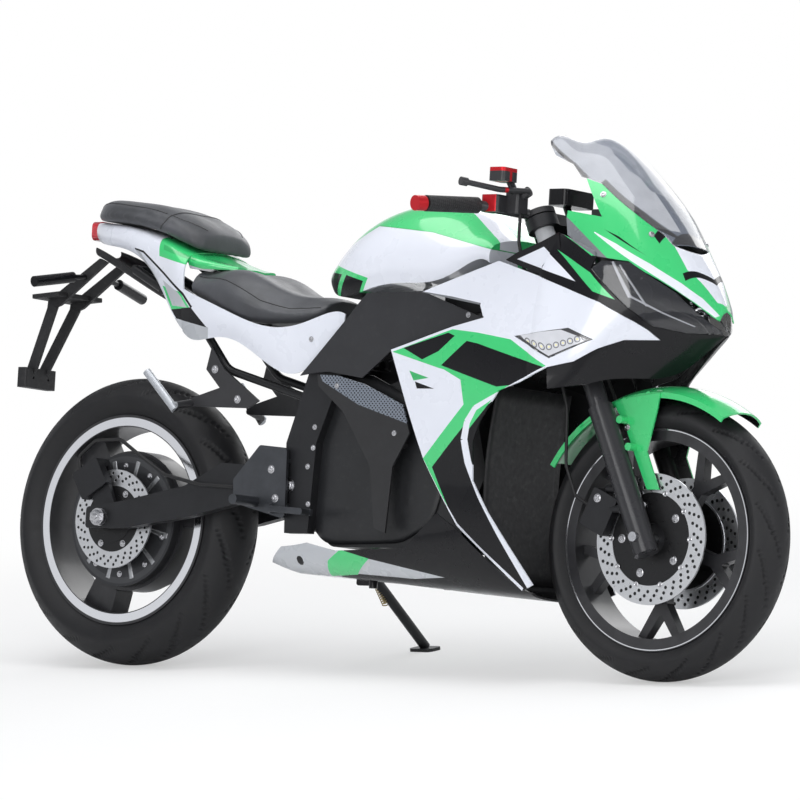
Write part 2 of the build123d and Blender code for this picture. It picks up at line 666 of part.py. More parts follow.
with BuildPart() as triple_clamps:
    for top, thickness in ((upper_clamp, 26), (lower_clamp, 32)):
        with BuildSketch(fork_plane(0, top)) as outline:
            with BuildLine():
                Polyline((-leg_y, -30), (leg_y, -30), (leg_y, 26), (34, 68), (-34, 68), (-leg_y, 26), close=True)
            make_face()
            with Locations((-leg_y, 0), (leg_y, 0)):
                Circle(34)
        extrude(outline.sketch, amount=-thickness)
    for hand in hands:
        y = hand * leg_y
        rod((fork_x(600), y, 600), (fork_x(1000), y, 1000), tube_bore, Mode.SUBTRACT)
    rod((steer_axis_x(lower_clamp - 14), 0, lower_clamp - 14), (steer_axis_x(upper_clamp + 10), 0, upper_clamp + 10), 15)
triple_clamps.part.label = "triple_clamps"

bar_radius = 11
bar_root = (fork_x(959) - 10, leg_y + 26, 959)
bar_bore = bar_radius + seat_gap


def bar_line(radius, hand, mode=Mode.ADD):
    """Round bar along the handlebar, from its clamp to its end."""
    bar_end = between(grip_inner, grip_outer, 1.16)
    bent_tube([handed(bar_root, hand), handed(grip_inner, hand), handed(bar_end, hand)], 30, radius, mode)


with BuildPart() as clip_ons:
    for hand in hands:
        with BuildSketch(fork_plane(hand * leg_y, fork_top)) as clamp:
            Circle(33)
            Circle(tube_bore, mode=Mode.SUBTRACT)
        extrude(clamp.sketch, amount=-12)
        bar_line(bar_radius, hand)
        rod(handed(between(grip_inner, grip_outer, 1.03), hand), handed(between(grip_inner, grip_outer, 1.2), hand), weight_radius)
clip_ons.part.label = "clip_ons"

with BuildPart() as grips:
    for hand in hands:
        rod(handed(between(grip_inner, grip_outer, 0.03), hand), handed(grip_outer, hand), 17)
        rod(handed(between(grip_inner, grip_outer, -0.1), hand), handed(between(grip_inner, grip_outer, 1.1), hand), bar_bore, Mode.SUBTRACT)
grips.part.label = "grips"

lever_pivot = (1126, 152, 1003)
with BuildPart() as hand_controls:
    for hand in hands:
        box(handed((1064, 186, 974), hand), (44, 40, 36), 8)
        box(handed((1096, 152, 978), hand), (34, 40, 44), 6)
        rod(handed((1100, 150, 990), hand), handed(lever_pivot, hand), 11)
        bent_tube([handed(lever_pivot, hand), handed((1102, 222, 999), hand), handed((1074, 300, 1006), hand)], 60, 6)
        rod(handed((1074, 298, 1006), hand), handed((1068, 312, 1007), hand), 9)
        bar_line(bar_bore, hand, Mode.SUBTRACT)
    box((1100, -209, 1031), (40, 52, 28), 8)
    rod((1100, -160, 992), (1100, -191, 1027), 8)
hand_controls.part.label = "hand_controls"

with BuildPart() as instrument:
    box((1124, 0, 1004), (50, 104, 34), 10)
    post = fork_plane(0, upper_clamp).origin + steer_direction.cross(Vector(0, 1, 0)) * -10
    rod(post + steer_direction * seat_gap, post + steer_direction * 42, 8)
instrument.part.label = "instrument"

fender_radius = 320
fender_half = 68.6
with BuildPart() as front_fender:
    start_angle = radians(56)
    with BuildSketch(Plane(origin=(wheelbase, 0, front_axle[1]), x_dir=(0, 1, 0), z_dir=(sin(start_angle), 0, -cos(start_angle)))) as profile:
        with BuildLine():
            Polyline((-fender_half, 290), (-fender_half, 302))
            ThreePointArc((-fender_half, 302), (0, fender_radius), (fender_half, 302))
            Polyline((fender_half, 302), (fender_half, 290), (fender_half - 4, 290), (fender_half - 4, 299))
            ThreePointArc((fender_half - 4, 299), (0, fender_radius - 4), (4 - fender_half, 299))
            Polyline((4 - fender_half, 299), (4 - fender_half, 290), (-fender_half, 290))
        make_face()
    revolve(profile.sketch, axis=Axis((wheelbase, 0, front_axle[1]), (0, -1, 0)), revolution_arc=94)
    for hand in hands:
        plate([
            (1323, 556), (1319, 571), (1375, 587), (1430, 591), (1426, 560), (1405, 470), (1440, 392), (1410, 392),
            (1374, 465), (1343, 531),
        ], hand * 68.3, 4)
        for x, z in ((1340, 576), (1400, 588)):
            rod((x, hand * (fender_half - 4), z), (x, hand * (fender_half + 3), z), 6)
        for z in (478, 534):
            x = fork_x(z) + (leg_radius + 8) / cos(radians(rake)) + seat_gap
            rod((x, hand * 70, z), (x, hand * leg_y, z), 8)
front_fender.part.label = "front_fender"


def caliper(axle, angle, disc_offset, outward, radius, reach=84):
    """Brake caliper round a disc's edge, in the open part."""
    out = Vector(cos(radians(angle)), 0, sin(radians(angle)))
    gap = disc_thickness / 2 + 5.1
    for low, high, y_from, y_to in (
        (radius - 40, radius + 26, gap, gap + 22), (radius - 28, radius + 26, -gap, -gap - 7),
        (radius + 5.2, radius + 26, -gap - 7, gap + 22),
    ):
        middle = out * ((low + high) / 2) + Vector(axle[0], outward * (disc_offset + y_from), axle[1])
        with BuildSketch(Plane(origin=middle, x_dir=out, z_dir=(0, outward, 0))) as block:
            RectangleRounded(high - low, reach, 6)
        extrude(block.sketch, amount=y_to - y_from)


with BuildPart() as front_calipers:
    for hand in hands:
        caliper(front_axle, 155.5, front_disc_offset, hand, front_disc_radius)
        for z in (350, 392):
            toward = Vector(fork_x(z) - 1318, hand * (leg_y - 80), 0).normalized()
            end = Vector(fork_x(z), hand * leg_y, z) - toward * (leg_radius * 1.1 + 2.4)
            rod((1318, hand * 80, z), end, 8)
front_calipers.part.label = "front_calipers"

with BuildPart() as front_brake_hoses:
    bent_tube([
        (1271, -79, 358), (1238, -82, 376), (1216, -92, 440), (1214, -96, 560), (1184, -98, 650), (1148, -106, 745),
        (1112, -140, 850), (1106, -151, 900), (1106, -151, 956 - seat_gap),
    ], [12, 40, 60, 40, 60, 60, 60], 3.5)
    bent_tube([
        (1271, 79, 358), (1238, 82, 376), (1216, 88, 440), (1212, 84, 580), (1194, 40, 672), (1186, -40, 680),
        (1176, -99, 672),
    ], [12, 40, 60, 40, 40], 3.5)
front_brake_hoses.part.label = "front_brake_hoses"

with BuildPart() as rear_brake_hose:
    bent_tube([
        (-88, -101, 421), (-92, -103, 450), (-40, -112, 484), (40, -124, 486), (107, -133, 449), (183, -138, 408),
        (282, -138, 388), (372 - seat_gap, -134, 384),
    ], [16, 30, 40, 60, 60, 60], 4)
rear_brake_hose.part.label = "rear_brake_hose"

with BuildPart() as rear_caliper:
    caliper(rear_axle, 122, rear_disc_offset, -1, rear_disc_radius, 76)
    plate([(-34, 332), (22, 332), (-6, 392), (-66, 392)], -91.3, 10.4)
rear_caliper.part.label = "rear_caliper"

with BuildPart() as front_axle_spindle:
    reach = leg_y + leg_radius + 8
    rod((wheelbase, -reach, front_axle[1]), (wheelbase, reach, front_axle[1]), axle_radius)
front_axle_spindle.part.label = "front_axle"

parts = [
    front_tyre, rear_tyre, front_rim, front_discs, rear_rim, hub_motor, rear_disc, main_frame, battery_pack, frame_plates,
    subframe, swingarm, rear_axle_spindle, rear_shock, rear_caliper, upper_cowl, windshield, headlight, fairing_right,
    fairing_left, front_indicators, belly_pan, side_covers, tank_cover, rider_seat, pillion_seat, tail_fairing, undertail,
    plate_bracket, tail_light, rear_indicators, rearsets, passenger_pegs, side_stand, fork_legs, triple_clamps, clip_ons,
    grips, hand_controls, instrument, front_fender, front_calipers, front_axle_spindle, front_brake_hoses, rear_brake_hose,
]

# ---- parked pose --------------------------------------------------------------------------------
os.makedirs("parts", exist_ok=True)
leaned = Location((0, 0, 0), (-lean, 0, 0))
box_all = Compound([piece.part.moved(leaned) for piece in parts]).bounding_box()
parked = Location((-box_all.center().X, -box_all.center().Y, 0)) * leaned
tilt = radians(lean)
parked_rows = Matrix([
    [1, 0, 0, parked.position.X], [0, cos(tilt), sin(tilt), parked.position.Y], [0, -sin(tilt), cos(tilt), 0],
])
trimmed = (upper_cowl, headlight, fairing_right, fairing_left)      # moved exactly, to keep their cut edges closed
for piece in parts:
    if piece in trimmed:
        piece.part = piece.part.transform_geometry(parked_rows)
    else:
        piece.part.move(parked)
    export_step(piece.part, f"parts/{piece.part.label}.step")
print("parked shift", parked.position)
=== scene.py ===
import json
import math

import bmesh
import bpy
from mathutils import Matrix, Vector
from mathutils.bvhtree import BVHTree


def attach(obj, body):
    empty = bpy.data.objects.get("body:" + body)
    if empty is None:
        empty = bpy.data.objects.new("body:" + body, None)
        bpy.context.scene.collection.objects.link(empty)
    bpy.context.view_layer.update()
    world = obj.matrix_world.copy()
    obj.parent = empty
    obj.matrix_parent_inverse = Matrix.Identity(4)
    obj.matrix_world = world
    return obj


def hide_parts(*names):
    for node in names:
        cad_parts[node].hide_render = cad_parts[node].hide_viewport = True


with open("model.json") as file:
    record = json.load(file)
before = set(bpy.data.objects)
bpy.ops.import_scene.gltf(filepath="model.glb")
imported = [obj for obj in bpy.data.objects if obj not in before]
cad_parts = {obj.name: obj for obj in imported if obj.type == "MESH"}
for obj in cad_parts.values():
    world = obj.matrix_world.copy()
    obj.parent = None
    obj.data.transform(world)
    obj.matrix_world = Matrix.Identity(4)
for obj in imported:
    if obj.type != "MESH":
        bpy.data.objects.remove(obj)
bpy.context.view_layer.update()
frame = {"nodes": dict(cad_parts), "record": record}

# ---- the motorcycle's own upright axes, in mm: x forward from the rear axle, y left, z up ----
LEAN = math.radians(12)
spin = next(j for j in frame["record"]["behaviour"]["joints"] if j["name"] == "rear_wheel_spin")
axle_x, axle_y, axle_z = (1000 * v for v in spin["pos_m"])
axle_height = axle_z / math.cos(LEAN)
SHIFT = Vector((axle_x, axle_y - axle_height * math.sin(LEAN), 0))
BIKE = Matrix.Translation(SHIFT / 1000) @ Matrix.Rotation(-LEAN, 4, "X") @ Matrix.Scale(0.001, 4)
TO_BIKE = BIKE.inverted()
REAR = (0, axle_height)
FRONT = (1420, 291)
HANDS = (-1, 1)
SIDES = ((-1, "right"), (1, "left"))
BOLT_CIRCLE, BUTTON_CIRCLE = 73, 98
HUB_BOLTS = ((10, 118, 4.5), (6, 52, 5))  # count, circle radius, head radius
REAR_DISC_CIRCLE = 62


# ---- shader building ----
class Graph:
    """A node tree built by short calls: inputs go by name or number, as plain values or sockets."""

    def __init__(self, tree):
        self.tree = tree
        tree.nodes.clear()

    def node(self, kind, inputs=None, **settings):
        made = self.tree.nodes.new(kind)
        for key, value in settings.items():
            setattr(made, key, value)
        for key, value in (inputs or {}).items():
            self.feed(made.inputs[key], value)
        return made

    def feed(self, socket, value):
        if isinstance(value, bpy.types.NodeSocket):
            self.tree.links.new(value, socket)
        else:
            socket.default_value = value

    def calc(self, op, a, b=0.0, clamp=False):
        return self.node("ShaderNodeMath", {0: a, 1: b}, operation=op, use_clamp=clamp).outputs[0]

    def mix(self, amount, a, b):
        a, b = (v if isinstance(v, bpy.types.NodeSocket) else (*v, 1) for v in (a, b))
        return self.node("ShaderNodeMix", {0: amount, 6: a, 7: b}, data_type="RGBA").outputs[2]


class Look(Graph):
    """A node material with its position socket in the motorcycle's axes, in mm."""

    def __init__(self, name):
        self.mat = bpy.data.materials.new(name)
        self.mat.use_nodes = True
        super().__init__(self.mat.node_tree)
        coords = self.node("ShaderNodeTexCoord").outputs["Object"]
        self.at = self.node("ShaderNodeMapping", {
            "Vector": coords, "Location": TO_BIKE.to_translation(),
            "Rotation": (LEAN, 0, 0), "Scale": (1000, 1000, 1000),
        }).outputs["Vector"]
        self.x, self.y, self.z = self.node("ShaderNodeSeparateXYZ", {0: self.at}).outputs
        self.side = self.calc("ABSOLUTE", self.y)
        self.folded = self.node("ShaderNodeCombineXYZ", {0: self.x, 1: self.side, 2: self.z}).outputs[0]
        self.shader = self.node("ShaderNodeBsdfPrincipled")
        self.node("ShaderNodeOutputMaterial", {0: self.shader.outputs[0]})

    def times(self, a, b):
        return self.calc("MULTIPLY", a, b)

    def plus(self, a, b):
        return self.calc("ADD", a, b)

    def minus(self, a, b):
        return self.calc("SUBTRACT", a, b)

    def hypot(self, a, b):
        return self.calc("SQRT", self.plus(self.times(a, a), self.times(b, b)))

    def span(self, value, lo, hi, a=0.0, b=1.0):
        """Runs from a to b while the value runs from lo to hi."""
        return self.node("ShaderNodeMapRange", {
            "Value": value, "From Min": lo, "From Max": hi, "To Min": a, "To Max": b}).outputs[0]

    def within(self, value, lo, hi, soft=0.3):
        """Mask of the values between lo and hi."""
        return self.times(self.span(value, lo - soft, lo + soft), self.span(value, hi - soft, hi + soft, 1.0, 0.0))

    def either(self, masks):
        total = masks[0]
        for mask in masks[1:]:
            total = self.calc("MAXIMUM", total, mask)
        return total

    def noise(self, size, detail=3.0, rough=0.55, stretch=(1, 1, 1)):
        """Noise with features about `size` mm across."""
        where = self.node("ShaderNodeMapping", {"Scale": stretch, "Vector": self.at}).outputs[0]
        return self.node("ShaderNodeTexNoise", {
            "Scale": 1 / size, "Detail": detail, "Roughness": rough, "Vector": where}).outputs[0]

    def cells(self, size):
        return self.node("ShaderNodeTexVoronoi", {"Scale": 1 / size, "Vector": self.at}).outputs["Distance"]

    def area(self, points, plane="xz", soft=0.25):
        """Mask of one convex outline, seen from the side (xz) or from above (xy)."""
        middle = [sum(p[k] for p in points) / len(points) for k in (0, 1)]
        least = None
        for (ax, ay), (bx, by) in zip(points, points[1:] + points[:1]):
            nx, ny = -(by - ay), bx - ax
            size = math.hypot(nx, ny)
            if size < 1e-6:
                continue
            nx, ny = nx / size, ny / size
            if (middle[0] - ax) * nx + (middle[1] - ay) * ny < 0:
                nx, ny = -nx, -ny
            way = (nx, 0, ny) if plane == "xz" else (nx, ny, 0)
            dot = self.node("ShaderNodeVectorMath", {0: self.folded, 1: way}, operation="DOT_PRODUCT")
            away = self.minus(dot.outputs["Value"], ax * nx + ay * ny)
            least = away if least is None else self.calc("MINIMUM", least, away)
        return self.span(least, -soft, soft)

    def stripe(self, points):
        """Mask of a band along (x, z, half width) points."""
        masks = []
        for (ax, ay, aw), (bx, by, bw) in zip(points, points[1:]):
            dx, dy = bx - ax, by - ay
            size = math.hypot(dx, dy)
            dx, dy = dx / size, dy / size
            ex, ey = dx * 0.6, dy * 0.6
            masks.append(self.area([
                (ax - dy * aw - ex, ay + dx * aw - ey), (bx - dy * bw + ex, by + dx * bw + ey),
                (bx + dy * bw + ex, by - dx * bw + ey), (ax + dy * aw - ex, ay - dx * aw - ey),
            ]))
        return self.either(masks)

    def drawn(self, shapes):
        """Mask of shapes: convex outlines of (x, z), bands of (x, z, half width), or ("xy", outline) from above."""
        masks = []
        for shape in shapes:
            if shape[0] == "xy":
                masks.append(self.area(shape[1], "xy"))
            elif len(shape[0]) == 3:
                masks.append(self.stripe(shape))
            else:
                masks.append(self.area(shape))
        return self.either(masks)

    def ring(self, centre):
        """Distance and angle about a wheel's axle."""
        dx, dz = self.minus(self.x, float(centre[0])), self.minus(self.z, float(centre[1]))
        return self.hypot(dx, dz), self.calc("ARCTAN2", dz, dx)

    def inside(self):
        """Mask of the faces of a shell that look towards the centre plane: bare moulding, not painted."""
        across = tuple((BIKE.to_3x3() @ Vector((0, 1, 0))).normalized())
        normal = self.node("ShaderNodeTexCoord").outputs["Normal"]
        dot = self.node("ShaderNodeVectorMath", {0: normal, 1: across}, operation="DOT_PRODUCT").outputs["Value"]
        return self.span(self.times(dot, self.span(self.y, -4, 4, -1.0, 1.0)), -0.22, -0.16, 1.0, 0.0)

    def colour(self, value):
        self.feed(self.shader.inputs["Base Color"], value)

    def rough(self, value, lo, hi):
        self.set(Roughness=self.span(value, 0.3, 0.7, lo, hi))

    def bump(self, *layers):
        """Bump layers as (height socket, depth in mm)."""
        below = {}
        for height, depth in layers:
            made = self.node("ShaderNodeBump", {"Distance": depth / 1000, "Height": height, **below})
            below = {"Normal": made.outputs[0]}
        self.set(**below)

    def set(self, **values):
        for key, value in values.items():
            self.feed(self.shader.inputs[key.replace("_", " ")], value)


WHITE = (0.74, 0.765, 0.84)
GREEN = (0.035, 0.56, 0.165)
DEEP_GREEN = (0.02, 0.40, 0.11)
BLACK = (0.006, 0.006, 0.0075)
GREY = (0.16, 0.17, 0.185)
SILVER = (0.46, 0.48, 0.51)
RED = (0.55, 0.012, 0.02)


def paint(name, base, layers=(), coat=0.9):
    """Gloss paint: colour areas under a clear coat, with slight orange peel, dust and polish marks."""
    look = Look(name)
    tone = look.noise(240, 2)
    grime = look.noise(9, 4, 0.7)
    colour = look.mix(look.span(tone, 0.35, 0.65), base, tuple(min(1, c * 0.965) for c in base))
    for shade, shapes in layers:
        colour = look.mix(look.drawn(shapes), colour, shade)
    colour = look.mix(look.span(grime, 0.6, 0.85, 0.0, 0.025), colour, (0.42, 0.40, 0.37))
    hidden = look.inside()
    look.colour(look.mix(hidden, colour, (0.014, 0.014, 0.015)))
    look.rough(look.noise(60, 3), 0.24, 0.34)
    grey = look.node("ShaderNodeRGBToBW", {0: colour}).outputs[0]
    shown = look.minus(1.0, hidden)
    look.set(Coat_Weight=look.times(look.span(grey, 0.012, 0.1, 0.22, coat), shown))
    look.set(Specular_IOR_Level=look.span(grey, 0.012, 0.1, 0.16, 0.5))
    look.bump((look.noise(2.2, 1), 0.006), (look.noise(55, 1), 0.10))
    look.set(Coat_Roughness=0.06, Coat_IOR=1.5)
    return look.mat


def metal(name, base, rough=(0.28, 0.42), grain=0.6, stretch=(1, 1, 1), metallic=1.0, bump=0.02):
    look = Look(name)
    fine = look.noise(grain, 4, 0.6, stretch)
    wide = look.noise(46, 3)
    dark = tuple(c * 0.62 for c in base)
    look.colour(look.mix(look.span(wide, 0.3, 0.75, 0.0, 0.6), base, dark))
    look.rough(look.noise(11, 5, 0.65), *rough)
    look.bump((fine, bump))
    look.set(Metallic=metallic)
    return look.mat


def plastic(name, base, rough=(0.38, 0.55), grain=0.9, depth=0.05, dust=0.12, coat=0.0):
    look = Look(name)
    wide = look.noise(70, 3)
    dirt = look.noise(16, 5, 0.7)
    colour = look.mix(look.span(wide, 0.3, 0.7), base, tuple(c * 1.35 for c in base))
    colour = look.mix(look.span(dirt, 0.55, 0.85, 0.0, dust), colour, (0.17, 0.165, 0.155))
    look.colour(colour)
    look.rough(look.noise(12, 4, 0.6), *rough)
    look.bump((look.cells(grain), depth * 0.5), (look.noise(grain * 2.4, 2), depth))
    look.set(Specular_IOR_Level=0.45, Coat_Weight=coat, Coat_Roughness=0.12)
    return look.mat


def rubber(name, base=(0.011, 0.011, 0.012), rough=(0.6, 0.8)):
    look = Look(name)
    scuff = look.noise(28, 5, 0.7)
    colour = look.mix(look.span(scuff, 0.45, 0.8, 0.0, 0.35), base, (0.034, 0.033, 0.032))
    look.colour(colour)
    look.rough(scuff, *rough)
    look.bump((look.noise(0.8, 3), 0.05), (look.noise(6, 3), 0.06))
    look.set(Specular_IOR_Level=0.35)
    return look.mat


def leather(name, base, worn):
    """Coated seat cloth: pebbled grain, fine creases and broad patches of a lighter, worn tone."""
    look = Look(name)
    wide = look.noise(120, 3)
    pebbles = look.cells(1.3)
    creases = look.noise(24, 5, 0.6, (1, 2.2, 1))
    colour = look.mix(look.span(wide, 0.35, 0.7), base, worn)
    colour = look.mix(look.span(pebbles, 0.0, 0.35, 0.4, 0.0), colour, tuple(c * 0.5 for c in base))
    look.colour(colour)
    look.rough(look.noise(36, 4, 0.6), 0.40, 0.56)
    look.bump((pebbles, 0.10), (creases, 0.35))
    look.set(Sheen_Weight=0.12, Sheen_Roughness=0.4, Specular_IOR_Level=0.5)
    return look.mat


def glass(name, tint, rough=0.05, bands=None, alpha=0.5, band_alpha=0.9, band_tint=None):
    """Thin moulded plastic: a tinted see-through film under a gloss surface."""
    look = Look(name)
    haze = look.noise(34, 4, 0.6)
    colour = look.mix(look.span(haze, 0.3, 0.75), tint, tuple(c * 0.82 for c in tint))
    cover = look.span(haze, 0.2, 0.8, alpha * 0.92, min(1, alpha * 1.08))
    # Bands mix band_tint into their areas; on the headlight lens the pale bands are painted highlights.
    if bands:
        mask = look.drawn(bands)
        colour = look.mix(mask, colour, band_tint)
        cover = look.calc("MAXIMUM", cover, look.times(mask, band_alpha))
    look.colour(colour)
    look.set(Alpha=cover)
    look.rough(look.noise(7, 4, 0.7), rough, rough + 0.06)
    look.bump((look.noise(18, 2), 0.02))
    look.set(Specular_IOR_Level=0.6, Coat_Weight=0.6, Coat_Roughness=0.04)
    return look.mat


# ---- paint schemes ----
FRONT_EDGE = [(1229, 633, 1), (1180, 608, 2), (1108, 572, 4), (1058, 547, 6), (1038, 518, 8), (1031, 482, 9),
              (1042, 436, 9), (1073, 367, 8), (1120, 285, 8), (1187, 180, 11)]
REAR_EDGE = [(918, 438, 2.5), (962, 370, 2.5), (1005, 307, 3), (1060, 260, 3), (1161, 177, 4)]
fairing_paint = paint("fairing_paint", WHITE, [
    (BLACK, [[(935, 420), (1040, 521), (1125, 575), (1300, 100), (700, 100), (700, 190)]]),
    (GREEN, [
        [(806, 664), (976, 713), (1046, 705), (1135, 690), (1231, 634), (1147, 592), (1112, 588), (948, 632)],
        [(948, 636), (1150, 594), (1110, 572), (1014, 606)],
        [(1032, 560), (1034, 515), (941, 424), (916, 442)],
        [(916, 444), (941, 428), (986, 338), (980, 334)],
        [(1014, 606), (1112, 574), (1040, 500)],
    ]),
    (BLACK, [
        [(846, 675), (966, 706), (985, 699), (945, 667), (901, 650)],
        [(1022, 690), (1050, 682), (1125, 668), (1178, 657), (1229, 631), (1147, 594), (1112, 591), (956, 637)],
        [(886, 604), (942, 588), (893, 589)],
        [(812, 673, 1.4), (974, 720, 1.6), (1054, 738, 1.6)],
    ]),
    (DEEP_GREEN, [[(868, 627), (924, 611), (882, 606)]]),
    (WHITE, [FRONT_EDGE, REAR_EDGE]),
    (GREY, [[(878, 792, 3), (960, 778, 5), (1040, 762, 6)]]),
])
belly_paint = paint("belly_paint", BLACK, [
    (SILVER, [
        [(430, 190), (430, 300), (560, 300), (690, 255), (640, 190)],
        [(745, 236), (950, 199), (860, 196), (700, 205)],
    ]),
    (GREEN, [[(619, 200), (636, 230), (676, 253), (752, 235), (701, 203)]]),
    (BLACK, [[(565, 234), (560, 239), (552, 239), (547, 234), (547, 226), (552, 221), (560, 221), (565, 226)]]),
    (WHITE, [[(1000, 311, 1.5), (1005, 303, 1.5), (1162, 173, 1.5)]]),
])
cowl_paint = paint("cowl_paint", GREEN, [
    (WHITE, [("xy", [(1432, -20), (1432, 64), (1473, 60), (1524, 18), (1540, -20)])]),
    (GREY, [[(1215, 957), (1232, 944), (1363, 864), (1340, 852), (1263, 892), (1215, 922)]]),
    (BLACK, [
        [(1322, 921), (1350, 909), (1396, 886), (1446, 845), (1409, 870)],
        ("xy", [(1470, 72), (1500, -2), (1508, -2), (1478, 72)]),
        ("xy", [(1410, -2), (1410, 96), (1422, 92), (1428, -2)]),
    ]),
    (WHITE, [[(1300, 915, 1), (1350, 887, 5), (1417, 846, 7), (1470, 810, 7), (1503, 783, 6),
                                 (1532, 752, 3)]]),
    (BLACK, [
        [(1100, 988), (1316, 860), (1316, 500), (1100, 500)],
        [(1310, 865), (1386, 854), (1386, 500), (1310, 500)],
        [(1384, 855), (1470, 795), (1544, 717), (1600, 655), (1600, 500), (1384, 500)],
    ]),
    (GREEN, [[(1222, 878), (1311, 829), (1369, 774), (1321, 790)]]),
    (WHITE, [[(1112, 861), (1184, 885), (1276, 811)]]),
])
tail_paint = paint("tail_paint", WHITE, [
    (GREEN, [[(100, 944), (111, 886), (216, 859), (330, 846), (330, 880), (215, 935)]]),
    (DEEP_GREEN, [[(118, 912), (205, 880), (204, 874), (122, 900)]]),
    (SILVER, [
        [(28, 904), (56, 894), (130, 800), (154, 772), (128, 806)],
        [(120, 700), (160, 752), (268, 728), (262, 690)],
    ]),
    (GREEN, [[(120, 822), (150, 768), (219, 764), (180, 806)]]),
    (SILVER, [[(122, 834), (153, 778), (204, 772), (172, 806)]]),
    (BLACK, [
        [(148, 770), (165, 750), (264, 728), (216, 772)],
        [(30, 905, 1.6), (58, 897, 2.4), (130, 846, 2.6), (190, 800, 2.8), (218, 772, 2.6)],
    ]),
])
tank_paint = paint("tank_paint", WHITE, [
    (GREEN, [
        [(600, 880), (719, 941), (719, 1100), (600, 1100)],
        [(718, 941), (882, 922), (882, 1100), (718, 1100)],
        [(881, 922), (1060, 878), (1060, 1100), (881, 1100)],
        [(540, 792), (592, 848), (616, 858), (724, 826), (690, 778), (640, 755), (555, 768)],
    ]),
    (WHITE, [("xy", [(820, -20), (820, 40), (1013, 112), (1060, 116), (1060, -20)])]),
    (GREEN, [("xy", [(900, -20), (900, 30), (1060, 52), (1060, -20)])]),
    (DEEP_GREEN, [[(600, 880, 1), (718, 941, 1), (882, 922, 1), (1060, 878, 1)]]),
    (BLACK, [
        [(556, 792), (598, 844), (644, 836), (606, 782), (580, 772)],
        [(622, 782), (660, 834), (710, 820), (680, 776), (640, 766)],
    ]),
])
fender_paint = paint("fender_paint", GREEN, [
    (DEEP_GREEN, [[(1230, 520, 1.4), (1330, 580, 1.6), (1430, 592, 1.4)]]),
])

wedge_paint = paint("wedge_paint", BLACK, [(WHITE, [[(1112, 861), (1184, 885), (1276, 811)]])])
black_gloss = paint("black_gloss", BLACK)
black_satin = plastic("black_satin", (0.011, 0.0115, 0.013), (0.30, 0.46), 1.4, 0.03, 0.10)
black_cast = metal("black_cast", (0.018, 0.0185, 0.021), (0.36, 0.52), 1.2, metallic=0.35, bump=0.06)
black_moulded = plastic("black_moulded", (0.010, 0.010, 0.011), (0.5, 0.66), 0.9, 0.09, 0.2)
side_cover_look = plastic("side_cover_satin", (0.016, 0.0165, 0.019), (0.34, 0.46), 1.0, 0.035, 0.08)
tube_black = metal("tube_black", (0.016, 0.0165, 0.018), (0.3, 0.45), 2.0, metallic=0.3, bump=0.03)
alloy = metal("alloy", (0.56, 0.57, 0.60), (0.24, 0.40), 0.7, bump=0.03)
fastener = metal("fastener", (0.55, 0.55, 0.57), (0.2, 0.34), 0.4, bump=0.02)
brass = metal("brass_plate", (0.52, 0.42, 0.22), (0.3, 0.45), 0.5, bump=0.03)
hose_look = rubber("hose_rubber", (0.012, 0.012, 0.013), (0.42, 0.6))
tyre_look = rubber("tyre_rubber", (0.010, 0.010, 0.0115), (0.48, 0.70))
seat_look = leather("seat_leather", (0.040, 0.042, 0.047), (0.075, 0.078, 0.088))
piping_look = leather("piping_leather", (0.016, 0.016, 0.018), (0.03, 0.03, 0.033))


def rim_look(name, centre, lip):
    """Black cast rim with a polished lip between the two radii of lip."""
    look = Look(name)
    r, _ = look.ring(centre)
    edge = look.within(r, *lip)
    spots = look.noise(30, 4)
    colour = look.mix(look.span(spots, 0.3, 0.7), (0.012, 0.012, 0.014), (0.024, 0.024, 0.027))
    look.colour(look.mix(edge, colour, (0.80, 0.81, 0.84)))
    look.set(Metallic=edge)
    look.set(Roughness=look.span(edge, 0.0, 1.0, 0.38, 0.12))
    look.bump((look.noise(1.6, 2), 0.02), (look.noise(40, 2), 0.08))
    look.set(Coat_Weight=0.15, Coat_Roughness=0.12)
    return look.mat


def disc_look(name, centre, radii, count, size=4.2, carrier=0.0):
    """Ground steel rotor with drilled holes, and a dark carrier inside it."""
    look = Look(name)
    r, angle = look.ring(centre)
    holes = None
    for k, radius in enumerate(radii):
        turn = look.times(angle, count / (2 * math.pi))
        turn = look.plus(turn, 100 + k / len(radii))
        off = look.minus(look.calc("FRACT", turn), 0.5)
        along = look.times(off, 2 * math.pi * radius / count)
        out = look.minus(r, float(radius))
        d = look.hypot(along, out)
        hole = look.span(d, size - 0.3, size + 0.3, 1.0, 0.0)
        holes = hole if holes is None else look.calc("MAXIMUM", holes, hole)
    rings = look.node("ShaderNodeTexNoise", {"Scale": 1.3, "W": r}, noise_dimensions="1D").outputs[0]
    wear = look.span(rings, 0.35, 0.65)
    inner = look.span(r, carrier - 0.3, carrier + 0.3, 1.0, 0.0)
    dark = look.calc("MAXIMUM", holes, inner)
    colour = look.mix(wear, (0.56, 0.57, 0.59), (0.72, 0.73, 0.75))
    look.colour(look.mix(dark, colour, (0.012, 0.012, 0.013)))
    look.set(Metallic=look.minus(1.0, look.times(dark, 0.6)))
    look.rough(look.noise(9, 3), 0.26, 0.40)
    look.bump((rings, 0.05), (look.minus(1.0, holes), 0.8))
    return look.mat


